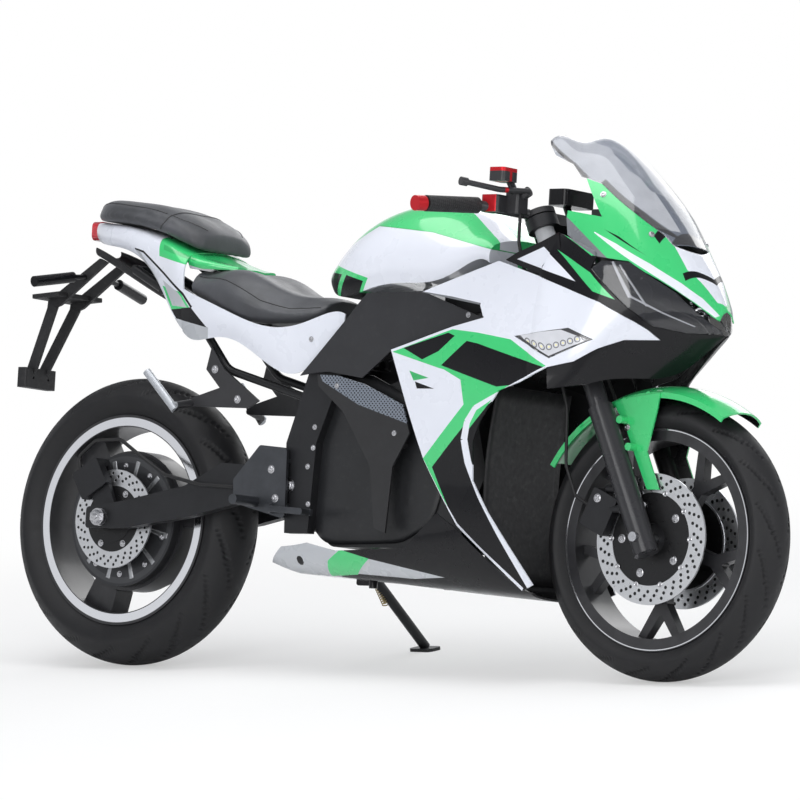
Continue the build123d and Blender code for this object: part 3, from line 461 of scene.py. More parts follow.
def motor_look(name, centre):
    """Cast hub: a dark shell with bright radial fins and a machined centre."""
    look = Look(name)
    r, angle = look.ring(centre)
    turn = look.calc("FRACT", look.plus(look.times(angle, 12 / (2 * math.pi)), 50.0))
    fin = look.within(turn, 0.42, 0.58, 0.02)
    fin = look.times(fin, look.within(r, 70, 132, 1.0))
    rim_band = look.within(r, 126, 139, 0.6)
    centre_band = look.within(r, 0, 44, 0.8)
    bright = look.either([look.times(fin, 0.85), centre_band, look.times(rim_band, 0.06)])
    cast = look.noise(1.4, 4)
    colour = look.mix(look.noise(40, 3), (0.026, 0.027, 0.03), (0.045, 0.046, 0.05))
    look.colour(look.mix(bright, colour, (0.50, 0.51, 0.53)))
    look.set(Metallic=look.span(bright, 0, 1, 0.4, 1.0))
    look.rough(look.noise(10, 4), 0.28, 0.46)
    look.bump((cast, 0.05), (fin, 1.6))
    return look.mat


def banded(name, base, bands, rough=(0.5, 0.66)):
    """Moulded parts on the bars: black with coloured collars and moulded ribs."""
    look = Look(name)
    colour = look.mix(look.noise(30, 3), base, tuple(c * 1.5 for c in base))
    masks = []
    for shade, mask in bands:
        m = mask(look)
        masks.append(m)
        colour = look.mix(m, colour, shade)
    look.colour(colour)
    look.rough(look.noise(9, 4), *rough)
    look.bump((look.noise(1.0, 3), 0.06))
    look.set(Metallic=look.span(look.either(masks), 0, 1, 0.0, 0.6))
    return look.mat


def grip_look():
    """Grip rubber with rows of raised blocks."""
    look = Look("grip_rubber")
    rib = look.calc("FRACT", look.times(look.side, 1 / 5.2))
    rib = look.within(rib, 0.18, 0.72, 0.08)
    row = look.calc("FRACT", look.times(look.plus(look.z, look.times(look.x, 0.4)), 1 / 6.5))
    row = look.within(row, 0.12, 0.85, 0.08)
    knob = look.times(rib, row)
    look.colour(look.mix(knob, (0.008, 0.008, 0.009), (0.022, 0.022, 0.024)))
    look.rough(look.noise(8, 4), 0.6, 0.78)
    look.bump((knob, 1.1), (look.noise(0.8, 2), 0.05))
    return look.mat


def plate_look():
    """Frame side plate: pale upper end with rows of small holes, satin black below."""
    look = Look("perforated_plate")
    u = look.calc("FRACT", look.times(look.plus(look.x, look.z), 1 / 9.0))
    v = look.calc("FRACT", look.times(look.minus(look.x, look.z), 1 / 9.0))
    u, v = look.minus(u, 0.5), look.minus(v, 0.5)
    d = look.hypot(u, v)
    pale = look.area([(585, 640), (745, 614), (840, 570), (850, 515), (700, 560), (600, 610)])
    hole = look.times(look.span(d, 0.24, 0.28, 1.0, 0.0), pale)
    base = look.mix(look.noise(30, 3), (0.014, 0.014, 0.015), (0.022, 0.022, 0.024))
    colour = look.mix(pale, base, (0.25, 0.28, 0.33))
    look.colour(look.mix(hole, colour, (0.008, 0.008, 0.009)))
    look.set(Metallic=look.span(pale, 0, 1, 0.1, 0.7))
    look.rough(look.noise(12, 4), 0.34, 0.5)
    look.bump((look.minus(1.0, hole), 0.9), (look.noise(1.2, 3), 0.04))
    return look.mat


def led_look():
    """Indicator lens: ribbed clear cover over a pale tray, with a row of LED cups and a dark border."""
    look = Look("indicator_lens")
    along = look.times(look.plus(look.x, look.times(look.z, 0.35)), 1 / 17.0)
    cup = look.minus(look.calc("FRACT", along), 0.5)
    turn = look.times(look.calc("ABSOLUTE", look.minus(look.x, 1228.0)), 0.27)
    rise = look.times(look.minus(look.minus(look.z, turn), 672.0), 1 / 17.0)
    d = look.hypot(cup, rise)
    ring = look.within(d, 0.30, 0.42, 0.03)
    dot = look.span(d, 0.12, 0.16, 1.0, 0.0)
    colour = look.mix(look.noise(20, 3), (0.55, 0.56, 0.60), (0.68, 0.69, 0.73))
    colour = look.mix(ring, colour, (0.12, 0.12, 0.13))
    colour = look.mix(dot, colour, (0.85, 0.78, 0.42))
    inside = look.area([(1153, 699), (1257, 710), (1319, 690), (1235, 655)])
    look.colour(look.mix(inside, (0.05, 0.05, 0.055), colour))
    look.rough(look.noise(9, 3), 0.08, 0.16)
    look.bump((ring, 0.5), (look.noise(3, 2), 0.02))
    look.set(Coat_Weight=1.0, Coat_Roughness=0.03)
    return look.mat


def lens_look(name, deep, pale, rib):
    """Tail lamp: saturated lens with moulded flutes."""
    look = Look(name)
    wave = look.calc("FRACT", look.times(look.y, 1 / rib))
    wave = look.within(wave, 0.2, 0.8, 0.15)
    look.colour(look.mix(look.times(wave, look.noise(12, 2)), deep, pale))
    look.rough(look.noise(10, 3), 0.08, 0.15)
    look.bump((wave, 0.6))
    look.set(Coat_Weight=1.0, Coat_Roughness=0.03, Subsurface_Weight=0.15, Subsurface_Scale=0.01)
    return look.mat


fork_look = paint("fork_metal", (0.03, 0.03, 0.033), [
    ((0.5, 0.51, 0.53), [[(1050, 872), (1250, 872), (1250, 938), (1050, 938)]]),
], 0.4)

looks = {
    "front_rim": rim_look("front_rim_gloss", FRONT, (226, 228)),
    "rear_rim": rim_look("rear_rim_gloss", REAR, (206, 224)),
    "front_discs": disc_look("front_rotor", FRONT, (108, 117, 126), 30, 3.6, 96),
    "rear_disc": disc_look("rear_rotor", REAR, (84, 92, 100), 26, 3.2, 72),
    "hub_motor": motor_look("hub_motor_case", REAR),
    "main_frame": black_cast, "battery_pack": black_satin, "frame_plates": plate_look(), "subframe": tube_black,
    "swingarm": black_cast, "rear_axle": alloy, "rear_shock": black_cast, "rear_caliper": black_cast,
    "upper_cowl": cowl_paint, "fairing_right": fairing_paint, "fairing_left": fairing_paint,
    "front_indicators": led_look(), "belly_pan": belly_paint, "side_covers": side_cover_look, "tank_cover": tank_paint,
    "tail_fairing": tail_paint, "undertail": black_moulded, "plate_bracket": black_moulded,
    "tail_light": lens_look("tail_lens", (0.30, 0.004, 0.012), (0.75, 0.03, 0.05), 6.0),
    "rear_indicators": black_gloss,
    "rearsets": metal("footrest_alloy", (0.10, 0.105, 0.115), (0.34, 0.5), 0.8, bump=0.04),
    "passenger_pegs": banded("pillion_hanger", (0.02, 0.02, 0.022),
                             [(SILVER, lambda k: k.within(k.side, 150, 300, 1.0))], (0.34, 0.5)),
    "side_stand": tube_black, "fork_legs": fork_look, "triple_clamps": black_cast, "front_axle": alloy,
    "clip_ons": banded("bar_black", (0.018, 0.018, 0.02), [(RED, lambda k: k.within(k.side, 353, 400))], (0.32, 0.46)),
    "grips": grip_look(),
    "hand_controls": banded("control_black", (0.018, 0.018, 0.02), [
        (RED, lambda k: k.within(k.side, 205, 213)), (RED, lambda k: k.within(k.z, 1037, 1060)),
    ], (0.36, 0.5)),
    "instrument": black_gloss, "front_fender": fender_paint, "front_calipers": black_cast,
    "front_brake_hoses": hose_look, "rear_brake_hose": hose_look,
    "windshield": glass("smoked_screen", (0.28, 0.31, 0.38), 0.04, [
        [(1148, 1112, 3), (1214, 1062, 3), (1252, 1031, 4)],
        [(1330, 1160, 4), (1420, 1000, 8), (1445, 900, 10)],
        [(1290, 1030), (1380, 962), (1445, 905), (1470, 890), (1440, 880), (1280, 1010)],
    ], 0.47, 0.78, (0.05, 0.05, 0.055)),
    # The pale bands drawn on the headlight lens are painted highlights.
    "headlight": glass("smoked_lamp_lens", (0.030, 0.031, 0.036), 0.03, [
        [(1358, 852, 2), (1378, 815, 3), (1396, 780, 3.4)], [(1372, 846, 1.2), (1402, 800, 1.6), (1424, 764, 1.6)],
        [(1396, 782, 2), (1450, 752, 1.6), (1500, 728, 1.2)],
    ], 0.72, 0.9, (0.34, 0.35, 0.38)),
}
for node, look in looks.items():
    for slot in frame["nodes"][node].material_slots:
        slot.material = look


# ---- mesh helpers ----
def new_object(name, data):
    made = bpy.data.objects.new(name, data)
    bpy.context.scene.collection.objects.link(made)
    return made


def smooth(mesh):
    for face in mesh.polygons:
        face.use_smooth = True


def thicken(piece, wall):
    piece.modifiers.new("thick", "SOLIDIFY").thickness = wall


def circle(count, offset=0.0):
    """Directions (cos, sin) spread evenly round a circle, the first one offset by a share of a step."""
    angles = [2 * math.pi * (k + offset) / count for k in range(count)]
    return [(math.cos(a), math.sin(a)) for a in angles]


def add(name, bm, look, body):
    """Turns a bmesh in the motorcycle's axes into a piece that rides on a body."""
    bmesh.ops.remove_doubles(bm, verts=bm.verts, dist=0.01)
    bmesh.ops.recalc_face_normals(bm, faces=bm.faces)
    mesh = bpy.data.meshes.new(name)
    bm.to_mesh(mesh)
    bm.free()
    mesh.transform(BIKE)
    mesh.materials.append(look)
    piece = new_object(name, mesh)
    smooth(mesh)
    mesh.set_sharp_from_angle(angle=math.radians(38))
    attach(piece, body)
    return piece


def frame_of(axis):
    axis = Vector(axis).normalized()
    return axis.to_track_quat("Z", "Y").to_matrix().to_4x4()


def lathe(bm, profile, at=(0, 0, 0), axis=(0, 1, 0), steps=24, hexed=()):
    """Turns (radius, height) points about an axis; rings named in hexed are six-sided."""
    turn = Matrix.Translation(Vector(at)) @ frame_of(axis)
    rings = []
    for i, (r, h) in enumerate(profile):
        ring = []
        if r < 0.01:
            v = bm.verts.new(turn @ Vector((0, 0, h)))
            ring = [v] * steps
        else:
            for k in range(steps):
                a = 2 * math.pi * k / steps
                rr = r
                if i in hexed:
                    b = (a + math.pi / 6) % (math.pi / 3) - math.pi / 6
                    rr = r / math.cos(b)
                ring.append(bm.verts.new(turn @ Vector((rr * math.cos(a), rr * math.sin(a), h))))
        rings.append(ring)
    for a, b in zip(rings, rings[1:]):
        for k in range(steps):
            corners = []
            for v in (a[k], a[(k + 1) % steps], b[(k + 1) % steps], b[k]):
                if v not in corners:
                    corners.append(v)
            if len(corners) > 2:
                bm.faces.new(corners)


def bolt(bm, at, axis, r=6.0, h=4.0):
    """Round head on a washer, with a hexagon socket."""
    lathe(bm, [(r * 1.5, 0), (r * 1.5, 0.9), (r * 1.02, 1.1), (r, 1.2), (r, h - 0.8), (r * 0.84, h), (r * 0.5, h),
               (r * 0.5, h * 0.4), (0, h * 0.4)], at, axis, 24, (6, 7))


def nut(bm, at, axis, r=7.0, h=5.0):
    """Hexagon nut on a washer, with the end of its stud."""
    lathe(bm, [(r * 1.45, 0), (r * 1.45, 1.0), (r, 1.0), (r, h - 0.7), (r * 0.8, h), (r * 0.5, h), (r * 0.5, h + 2.2),
               (r * 0.36, h + 3), (0, h + 3)], at, axis, 24, (2, 3))


def tube(bm, points, r, steps=12):
    """A swept round bar of radius r through the points."""
    pts = [Vector(p) for p in points]
    rings = []
    up = Vector((0.13, 0.21, 0.97))
    for i, p in enumerate(pts):
        way = (pts[min(i + 1, len(pts) - 1)] - pts[max(i - 1, 0)]).normalized()
        a = way.cross(up).normalized()
        b = way.cross(a)
        rings.append([bm.verts.new(p + (a * math.cos(t) + b * math.sin(t)) * r)
                      for t in (2 * math.pi * k / steps for k in range(steps))])
    for a, b in zip(rings, rings[1:]):
        for k in range(steps):
            bm.faces.new([a[k], a[(k + 1) % steps], b[(k + 1) % steps], b[k]])
    bm.faces.new(rings[0])
    bm.faces.new(list(reversed(rings[-1])))


trees = {}


def tree_of(name):
    """Surface of a CAD node in the motorcycle's axes."""
    if name not in trees:
        mesh = frame["nodes"][name].data
        verts = [TO_BIKE @ v.co for v in mesh.vertices]
        trees[name] = BVHTree.FromPolygons(verts, [list(p.vertices) for p in mesh.polygons])
    return trees[name]


def touch(node, start, way):
    """First point and normal of a node's surface along a line."""
    at, normal, _, _ = tree_of(node).ray_cast(Vector(start), Vector(way).normalized())
    if at is not None and normal.dot(Vector(way)) > 0:
        normal = -normal
    return at, normal


def from_side(node, x, z, hand):
    return touch(node, (x, hand * 600, z), (0, -hand, 0))


# ---- tyres ----
CROWN_DROP = 0.64  # fall of the crown from its middle to the shoulder, as a share of half the width
CROWN_ROWS, TYRE_STEPS, TREAD_REPEATS = 34, 900, 17
SLOT_DEPTH, SLOT_HALF = 5.0, 5.2
TREAD = (  # side, start as a share of a repeat, from and to as shares of the half crown, lead in repeats
    (1, 0.0, 0.10, 0.80, 1.25), (-1, 0.5, 0.10, 0.80, 1.25), (1, 0.5, 0.42, 0.90, 0.9), (-1, 0.0, 0.42, 0.90, 0.9))


def slot_depth(a, s, radius):
    """Depth of the tread slots at angle a and at s of the half crown."""
    period = 2 * math.pi / TREAD_REPEATS
    depth = 0.0
    for sign, phase, lo, hi, lead in TREAD:
        t = s * sign
        if lo < t < hi:
            q = (t - lo) / (hi - lo)
            mid = lead * period * q ** 0.75
            d = ((a - mid - phase * period + period * 20) / period + 0.5) % 1.0 - 0.5
            gap = abs(d) * period * radius
            wide = SLOT_HALF * (0.5 + 0.5 * math.sin(math.pi * min(1, q * 1.1)))
            cut = max(0.0, 1 - (gap / wide) ** 5) if gap < wide else 0.0
            depth = max(depth, SLOT_DEPTH * cut * min(1, 7 * q, 7 * (1 - q)))
    return depth


def tyre(name, node, centre, radius, width, rim_half, body):
    """Treaded tyre: curved slots cut into a round crown, with ribbed side walls."""
    half = width / 2
    share = (1 + CROWN_DROP ** 2) / (2 * CROWN_DROP) * half
    most = math.asin(min(1, half / share))
    rows = []
    for i in range(CROWN_ROWS + 1):
        phi = -most + 2 * most * i / CROWN_ROWS
        rows.append((share * math.sin(phi), radius - share + share * math.cos(phi), phi / most))
    low = radius - CROWN_DROP * half
    wall = []
    for t in (0.12, 0.25, 0.38, 0.5, 0.62, 0.74, 0.86, 1.0):
        y = half + (rim_half - half) * t ** 1.7
        wall.append((y, low + (231 - low) * t, None))
    wall.append((rim_half - 3, 226, None))
    rows = [(-y, r, None) for y, r, _ in reversed(wall)] + rows + wall
    verts, faces = [], []
    for k in range(TYRE_STEPS):
        a = 2 * math.pi * k / TYRE_STEPS
        for y, r, s in rows:
            if s is None:
                depth = 0.5 if int(r) % 9 < 2 and 236 < r < low - 4 else 0.0
            else:
                depth = slot_depth(a, s, radius)
            rr = r - depth
            verts.append((centre[0] + rr * math.cos(a), y, centre[1] + rr * math.sin(a)))
    n = len(rows)
    for k in range(TYRE_STEPS):
        for i in range(n - 1):
            a, b = k * n + i, ((k + 1) % TYRE_STEPS) * n + i
            faces.append((a, b, b + 1, a + 1))
    mesh = bpy.data.meshes.new(name)
    mesh.from_pydata(verts, [], faces)
    mesh.transform(BIKE)
    mesh.materials.append(tyre_look)
    smooth(mesh)
    piece = new_object(name, mesh)
    bm = bmesh.new()
    bm.from_mesh(mesh)
    bmesh.ops.recalc_face_normals(bm, faces=bm.faces)
    bm.to_mesh(mesh)
    bm.free()
    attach(piece, body)
    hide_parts(node)


tyre("rear_tyre_tread", "rear_tyre", REAR, 314, 146, 54, "rear_wheel")
tyre("front_tyre_tread", "front_tyre", FRONT, 289.5, 114, 42, "front_wheel")


# ---- seats ----
VOXEL = 0.0048


def cushion(name, node, cap):
    """Padded seat: the CAD pad remeshed, blown up by cloth where its cover is free by at most cap, and smoothed."""
    mesh = frame["nodes"][node].data.copy()
    mesh.materials.clear()
    mesh.materials.append(seat_look)
    pad = new_object(name, mesh)
    bpy.context.view_layer.objects.active = pad
    pad.select_set(True)
    remesh = pad.modifiers.new("remesh", "REMESH")
    remesh.mode = "VOXEL"
    remesh.voxel_size = VOXEL
    bpy.ops.object.modifier_apply(modifier="remesh")
    soft = pad.modifiers.new("smooth", "SMOOTH")
    soft.factor = 0.5
    soft.iterations = 4
    bpy.ops.object.modifier_apply(modifier="smooth")
    start = [v.co.copy() for v in pad.data.vertices]
    normals = [v.normal.copy() for v in pad.data.vertices]
    cloth = pad.modifiers.new("cloth", "CLOTH")
    s = cloth.settings
    s.use_pressure = True
    s.uniform_pressure_force = 4.0
    s.effector_weights.gravity = 0
    s.quality = 5
    s.mass = 0.3
    s.tension_stiffness = 20
    s.bending_stiffness = 4
    scene = bpy.context.scene
    scene.frame_start = 1
    scene.frame_end = 20
    cloth.point_cache.frame_start = 1
    cloth.point_cache.frame_end = 20
    for f in range(1, 21):
        scene.frame_set(f)
    bpy.ops.object.modifier_apply(modifier="cloth")
    scene.frame_set(1)
    up = BIKE.to_3x3() @ Vector((0, 0, 1))
    up.normalize()
    for v, was, normal in zip(pad.data.vertices, start, normals):
        move = v.co - was
        if move.length > cap:
            move *= cap / move.length
        free = min(1, max(0, normal.dot(up) * 2.2 - 0.1))
        v.co = was + move * free
    sub = pad.modifiers.new("sub", "SUBSURF")
    sub.levels = 1
    sub.render_levels = 1
    bpy.ops.object.modifier_apply(modifier="sub")
    pad.select_set(False)
    smooth(pad.data)
    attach(pad, "chassis")
    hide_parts(node)
    verts = [TO_BIKE @ v.co for v in pad.data.vertices]
    return BVHTree.FromPolygons(verts, [list(p.vertices) for p in pad.data.polygons])


pillion = cushion("pillion_cushion", "pillion_seat", 0.005)
rider = cushion("rider_cushion", "rider_seat", 0.006)


def seam(name, tree, points, r=1.5, lift=0.2):
    """Piping pressed onto a cushion along points near its surface."""
    path = []
    pts = [Vector(p) for p in points]
    for a, b in zip(pts, pts[1:]):
        steps = max(2, int((b - a).length / 5))
        path += [a.lerp(b, k / steps) for k in range(steps)]
    path.append(pts[-1])
    on = []
    for p in path:
        at, normal, _, _ = tree.find_nearest(p)
        on.append(at + normal * lift)
    bm = bmesh.new()
    tube(bm, on, r, 8)
    return add(name, bm, piping_look, "chassis")


seam("pillion_seam", pillion, [(96, -130, 930), (112, -118, 962), (124, -86, 985), (130, -40, 1000), (132, 0, 1004),
                               (130, 40, 1000), (124, 86, 985), (112, 118, 962), (96, 130, 930)])
for hand, tag in SIDES:
    seam(f"pillion_edge_{tag}", pillion,
         [(120, hand * 96, 986), (150, hand * 92, 975), (180, hand * 78, 962), (200, hand * 60, 948)], 1.2)
    seam(f"pillion_rear_edge_{tag}", pillion, [(-108, hand * 46, 996), (-60, hand * 74, 1010), (0, hand * 88, 1003),
                                               (60, hand * 92, 995), (108, hand * 96, 988)], 1.2)
    seam(f"rider_edge_{tag}", rider, [(215, hand * 100, 846), (300, hand * 112, 830), (400, hand * 118, 790),
                                      (470, hand * 104, 772), (540, hand * 84, 775)], 1.2)


# ---- fasteners ----
def fasteners(name, spots):
    """Bolts on both sides of the frame's nodes, given as (node, x, z, head radius)."""
    bm = bmesh.new()
    for node, x, z, size in spots:
        for hand in HANDS:
            at, normal = from_side(node, x, z, hand)
            if at is not None:
                bolt(bm, at, normal, size, size * 0.75)
    add(name, bm, fastener, "chassis")


fasteners("frame_fasteners", (
    ("main_frame", 572, 514, 4), ("main_frame", 571, 470, 4), ("main_frame", 559, 430, 4), ("main_frame", 566, 350, 4),
    ("rearsets", 475, 422, 6), ("rearsets", 490, 360, 6), ("passenger_pegs", 342, 575, 6),
    ("passenger_pegs", 275, 640, 6), ("main_frame", 511, 389, 10),
))
fasteners("panel_fasteners", (
    ("side_covers", 600, 690, 4), ("side_covers", 1000, 745, 4), ("belly_pan", 700, 290, 4), ("belly_pan", 880, 300, 4),
    ("upper_cowl", 1300, 996, 4.5), ("upper_cowl", 1406, 915, 4.5), ("tail_fairing", 560, 700, 4),
    ("frame_plates", 640, 600, 4), ("frame_plates", 800, 500, 4), ("battery_pack", 690, 376, 5),
    ("battery_pack", 820, 330, 5),
))

bm = bmesh.new()
for hand in HANDS:
    for c, s in circle(5, 0.5):
        x, z = FRONT[0] + BOLT_CIRCLE * c, FRONT[1] + BOLT_CIRCLE * s
        at, normal = from_side("front_discs", x, z, hand)
        if at is None:
            at, normal = from_side("front_rim", x, z, hand)
        if at is not None:
            bolt(bm, at, (0, hand, 0), 6, 5)
    for c, s in circle(10):
        at, normal = from_side("front_discs", FRONT[0] + BUTTON_CIRCLE * c, FRONT[1] + BUTTON_CIRCLE * s, hand)
        if at is not None:
            lathe(bm, [(6, 0), (6, 1.2), (4.4, 1.6), (3.2, 0.9), (0, 0.9)], at, (0, hand, 0), 20)
add("front_disc_bolts", bm, fastener, "front_wheel")

bm = bmesh.new()
for hand in HANDS:
    for count, radius, size in HUB_BOLTS:
        for c, s in circle(count, 0.5):
            at, normal = from_side("hub_motor", radius * c, REAR[1] + radius * s, hand)
            if at is not None:
                bolt(bm, at, (0, hand, 0), size, 4)
for c, s in circle(6):
    at, normal = from_side("rear_disc", REAR_DISC_CIRCLE * c, REAR[1] + REAR_DISC_CIRCLE * s, -1)
    if at is not None:
        bolt(bm, at, (0, -1, 0), 5, 4)
add("hub_bolts", bm, fastener, "rear_wheel")

bm = bmesh.new()
for hand in HANDS:
    nut(bm, (0, hand * 140, REAR[1]), (0, hand, 0), 13, 9)
    lathe(bm, [(19, 0), (19, 2), (15, 2.4), (0, 2.4)], (0, hand * 129, REAR[1]), (0, hand, 0), 28)
add("axle_nuts", bm, fastener, "chassis")

# ---- lamp insides ----
mirror = metal("reflector", (0.42, 0.43, 0.46), (0.12, 0.22), 3.0, bump=0.02)
chrome = metal("lamp_chrome", (0.78, 0.79, 0.82), (0.08, 0.14), 0.6, bump=0.01)
for hand, tag in SIDES:
    lamps = (("projector", (1392, hand * 108, 794), 26), ("projector_low", (1428, hand * 70, 770), 15))
    for name, at, r in lamps:
        way = (0.86, hand * 0.5, 0.0)
        bm = bmesh.new()
        lathe(bm, [(r * 0.4, -22), (r * 0.86, -10), (r, 0), (r * 1.06, 1.5), (r * 0.98, 2.2), (r * 0.86, -1),
                   (r * 0.8, -3)], at, way, 36)
        add(f"{name}_bowl_{tag}", bm, chrome, "chassis")
        bm = bmesh.new()
        lathe(bm, [(r * 0.8, -3), (r * 0.7, 3), (r * 0.45, 7), (r * 0.2, 8.6), (0, 9)], at, way, 32)
        lens = glass(f"{name}_glass_{tag}", (0.5, 0.53, 0.6), 0.02, None, 0.35)
        add(f"{name}_lens_{tag}", bm, lens, "chassis")
    bm = bmesh.new()
    last = None
    for x, z in ((1334, 846), (1350, 820), (1372, 792), (1396, 768)):
        at, normal = from_side("headlight", x, z, hand)
        if at is None:
            continue
        inner = at - Vector((0, hand * 9, 0))
        pair = [bm.verts.new(inner + Vector((8, 0, 3))), bm.verts.new(inner + Vector((-6, 0, -2)))]
        if last:
            bm.faces.new([last[0], pair[0], pair[1], last[1]])
        last = pair
    thicken(add(f"lamp_blade_{tag}", bm, mirror, "chassis"), 0.003)

# ---- small parts ----
bm = bmesh.new()
coil = []
for k in range(150):
    t = k / 149
    a = 2 * math.pi * 13 * t
    base = Vector((536, 158, 214)).lerp(Vector((544, 196, 158)), t)
    coil.append(base + Vector((math.cos(a) * 6.2, math.sin(a) * 5, math.sin(a) * 3.4)))
tube(bm, coil, 1.3, 8)
add("stand_spring", bm, brass, "side_stand")

WEDGE = [(1080, 860), (1108, 874), (1176, 896), (1224, 915), (1229, 884), (1182, 846), (1178, 829), (1128, 844)]
for hand, tag in SIDES:
    bm = bmesh.new()
    outer = [bm.verts.new((x, hand * (158 + 0.09 * (x - 1080)), z)) for x, z in WEDGE]
    face = bm.faces.new(outer)
    cut = bmesh.ops.extrude_face_region(bm, geom=[face])
    for v in (g for g in cut["geom"] if isinstance(g, bmesh.types.BMVert)):
        v.co.y -= hand * 4
    rims = [e for e in bm.edges if abs((e.verts[0].co - e.verts[1].co).y) < 2.5]
    bmesh.ops.bevel(bm, geom=rims, offset=1.2, segments=2, affect="EDGES")
    add(f"cowl_wedge_{tag}", bm, wedge_paint, "chassis")


# Section of a moulded cover from its back edge to its middle: (share of the outline, share of the rise).
DOME = ((1.0, 0.0), (0.985, 0.25), (0.94, 0.42), (0.86, 0.52), (0.66, 0.8), (0.4, 0.95))


def panel(name, outline, y, rise, thick, look, body):
    """Moulded cover on each side: a domed plate with a rolled edge, whose middle stands out by rise."""
    mid = Vector((sum(p[0] for p in outline) / len(outline), 0, sum(p[1] for p in outline) / len(outline)))
    for hand, tag in SIDES:
        bm = bmesh.new()
        loops = []
        for scale, height in ((1.0, -thick), *((scale, share * rise) for scale, share in DOME)):
            around_mid = [mid.lerp(Vector((x, 0, z)), scale) for x, z in outline]
            loops.append([bm.verts.new((p.x, hand * (y + height), p.z)) for p in around_mid])
        n = len(outline)
        for a, b in zip(loops, loops[1:]):
            for k in range(n):
                bm.faces.new([a[k], a[(k + 1) % n], b[(k + 1) % n], b[k]])
        tip = bm.verts.new((mid.x, hand * (y + rise), mid.z))
        back = bm.verts.new((mid.x, hand * (y - thick), mid.z))
        for k in range(n):
            bm.faces.new([loops[-1][k], loops[-1][(k + 1) % n], tip])
            bm.faces.new([loops[0][k], loops[0][(k + 1) % n], back])
        add(f"{name}_{tag}", bm, look, body)


def rounded(points, each=5, reach=26):
    """Rounds the corners of an outline."""
    out = []
    n = len(points)
    for i in range(n):
        p, a, b = Vector(points[i]), Vector(points[i - 1]), Vector(points[(i + 1) % n])
        start = p + (a - p).normalized() * min(reach, (a - p).length * 0.45)
        end = p + (b - p).normalized() * min(reach, (b - p).length * 0.45)
        for k in range(each + 1):
            t = k / each
            q = start * (1 - t) ** 2 + p * 2 * t * (1 - t) + end * t ** 2
            out.append((q.x, q.y))
    return out


CASE = [(560, 620), (690, 632), (800, 580), (872, 500), (905, 400), (880, 318), (800, 272), (600, 266), (560, 300)]
panel("side_case", rounded(CASE), 93, 9, 3, black_satin, "chassis")

# A dark sheet across the inside behind the front wheel: painted shade that closes the view through between the
# fairings.
bm = bmesh.new()
sheet = []
for i in range(13):
    z = 196 + 34 * i
    bend = 22 * math.sin(math.pi * i / 12)
    sheet.append([bm.verts.new((1052 - bend + 0.00045 * y * y, y, z)) for y in range(-130, 131, 20)])
for a, b in zip(sheet, sheet[1:]):
    for k in range(len(a) - 1):
        bm.faces.new([a[k], a[k + 1], b[k + 1], b[k]])
thicken(add("shade_sheet", bm, black_moulded, "chassis"), 0.003)

bm = bmesh.new()
for hand in HANDS:
    at, normal = from_side("fork_legs", FRONT[0], FRONT[1], hand)
    if at is not None:
        nut(bm, at, (0, hand, 0), 9, 6)
    for x, z in ((1352, 520), (1368, 470)):
        at, normal = from_side("front_fender", x, z, hand)
        if at is not None:
            bolt(bm, at, normal, 5, 4)
    for x, z in ((1300, 372), (1336, 330)):
        at, normal = from_side("front_calipers", x, z, hand)
        if at is not None:
            bolt(bm, at, (0, hand, 0), 6, 5)
add("fork_fasteners", bm, fastener, "steering")


# ---- stage ----
def seen(graph):
    """Mask of the rays that show the background itself, straight or through glass."""
    path = graph.node("ShaderNodeLightPath").outputs
    return path, graph.calc("ADD", path["Is Camera Ray"], path["Is Transmission Ray"], True)


# The pale floor keeps its shadows near the motorcycle and turns to plain white further out.
FLOOR = (0.93, 0.93, 0.93)
floor_matte = bpy.data.materials.new("floor_matte")
floor_matte.use_nodes = True
graph = Graph(floor_matte.node_tree)
coords = graph.node("ShaderNodeTexCoord").outputs["Object"]
grain = graph.node("ShaderNodeTexNoise", {"Scale": 3.0, "Vector": coords}).outputs[0]
shade = graph.mix(grain, FLOOR, tuple(c * 0.985 for c in FLOOR))
matte = graph.node("ShaderNodeBsdfDiffuse", {"Color": shade}).outputs[0]
glow = graph.node("ShaderNodeEmission", {"Strength": 1.0}).outputs[0]
length = graph.node("ShaderNodeVectorMath", {0: coords}, operation="LENGTH").outputs["Value"]
far = graph.node("ShaderNodeMapRange", {"Value": length, "From Min": 0.9, "From Max": 3.2, "To Min": 0.45},
                 interpolation_type="SMOOTHSTEP").outputs[0]
amount = graph.calc("MULTIPLY", far, seen(graph)[1])
mixed = graph.node("ShaderNodeMixShader", {0: amount, 1: matte, 2: glow}).outputs[0]
graph.node("ShaderNodeOutputMaterial", {0: mixed})

bm = bmesh.new()
bmesh.ops.create_circle(bm, cap_ends=True, radius=60, segments=96)
floor_mesh = bpy.data.meshes.new("floor")
bm.to_mesh(floor_mesh)
bm.free()
floor_mesh.materials.append(floor_matte)
floor = new_object("floor", floor_mesh)
floor.location = (0, 0, -0.0004)

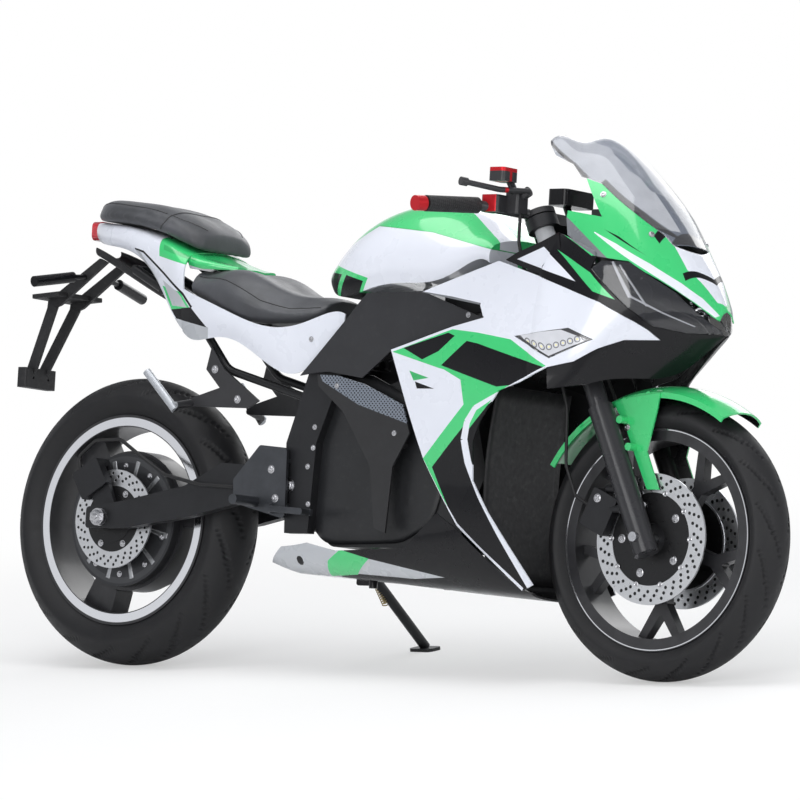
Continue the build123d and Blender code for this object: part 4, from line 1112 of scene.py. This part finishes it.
# The world is white to the camera, a plain grey light to the surfaces, and a soft gradient in reflections.
world = bpy.data.worlds.new("studio")
bpy.context.scene.world = world
world.use_nodes = True
graph = Graph(world.node_tree)
back = graph.node("ShaderNodeBackground", {"Color": (1, 1, 1, 1), "Strength": 1.0}).outputs[0]
soft = graph.node("ShaderNodeBackground", {"Color": (0.60, 0.62, 0.66, 1), "Strength": 0.50}).outputs[0]
path, shown = seen(graph)
coords = graph.node("ShaderNodeTexCoord").outputs["Generated"]
height = graph.node("ShaderNodeSeparateXYZ", {0: coords}).outputs[2]
ramp = graph.node("ShaderNodeValToRGB", {0: height})
stops = (((0.92, 0.93, 0.95, 1), 0.12), ((0.34, 0.35, 0.37, 1), 0.42))
for stop, (colour, position) in zip(ramp.color_ramp.elements, stops):
    stop.color = colour
    stop.position = position
shine = graph.node("ShaderNodeBackground", {"Color": ramp.outputs[0]}).outputs[0]
gloss = graph.node("ShaderNodeMixShader", {0: path["Is Glossy Ray"], 1: soft, 2: shine}).outputs[0]
mixed = graph.node("ShaderNodeMixShader", {0: shown, 1: gloss, 2: back}).outputs[0]
graph.node("ShaderNodeOutputWorld", {0: mixed})


def lamp(name, at, target, size, power):
    data = bpy.data.lights.new(name, "AREA")
    data.shape = "RECTANGLE"
    data.size, data.size_y = size
    data.energy = power
    light = new_object(name, data)
    light.location = at
    light.rotation_euler = (Vector(target) - Vector(at)).to_track_quat("-Z", "Y").to_euler()


lamp("top_softbox", (0.1, -0.4, 3.4), (0, 0, 0.5), (3.6, 2.4), 76)
lamp("side_softbox", (1.4, -4.2, 2.2), (0, 0, 0.6), (3.2, 2.2), 84)
lamp("front_softbox", (4.2, -0.6, 1.8), (0, 0, 0.6), (2.2, 2.0), 36)
lamp("back_softbox", (-0.8, 4.0, 2.4), (0, 0, 0.6), (3.4, 2.0), 56)

# ---- camera ----
YAW, PITCH, ROLL = 2.22956, -0.09062, -0.07011
ahead = Vector((math.cos(PITCH) * math.cos(YAW), math.cos(PITCH) * math.sin(YAW), math.sin(PITCH)))
right = ahead.cross(Vector((0, 0, 1))).normalized()
above = right.cross(ahead)
turned = right * math.cos(ROLL) + above * math.sin(ROLL)
top = above * math.cos(ROLL) - right * math.sin(ROLL)
place = Vector((9.3308, -11.0242, 1.8512)) + SHIFT / 1000
camera_data = bpy.data.cameras.new("camera")
camera_data.sensor_width = 36
camera_data.lens = 6661.0 * 36 / 800
camera_data.clip_end = 200
camera = new_object("camera", camera_data)
camera.matrix_world = Matrix.Translation(place) @ Matrix((turned, top, -ahead)).transposed().to_4x4()
bpy.context.scene.camera = camera
bpy.context.scene.view_settings.view_transform = "Standard"
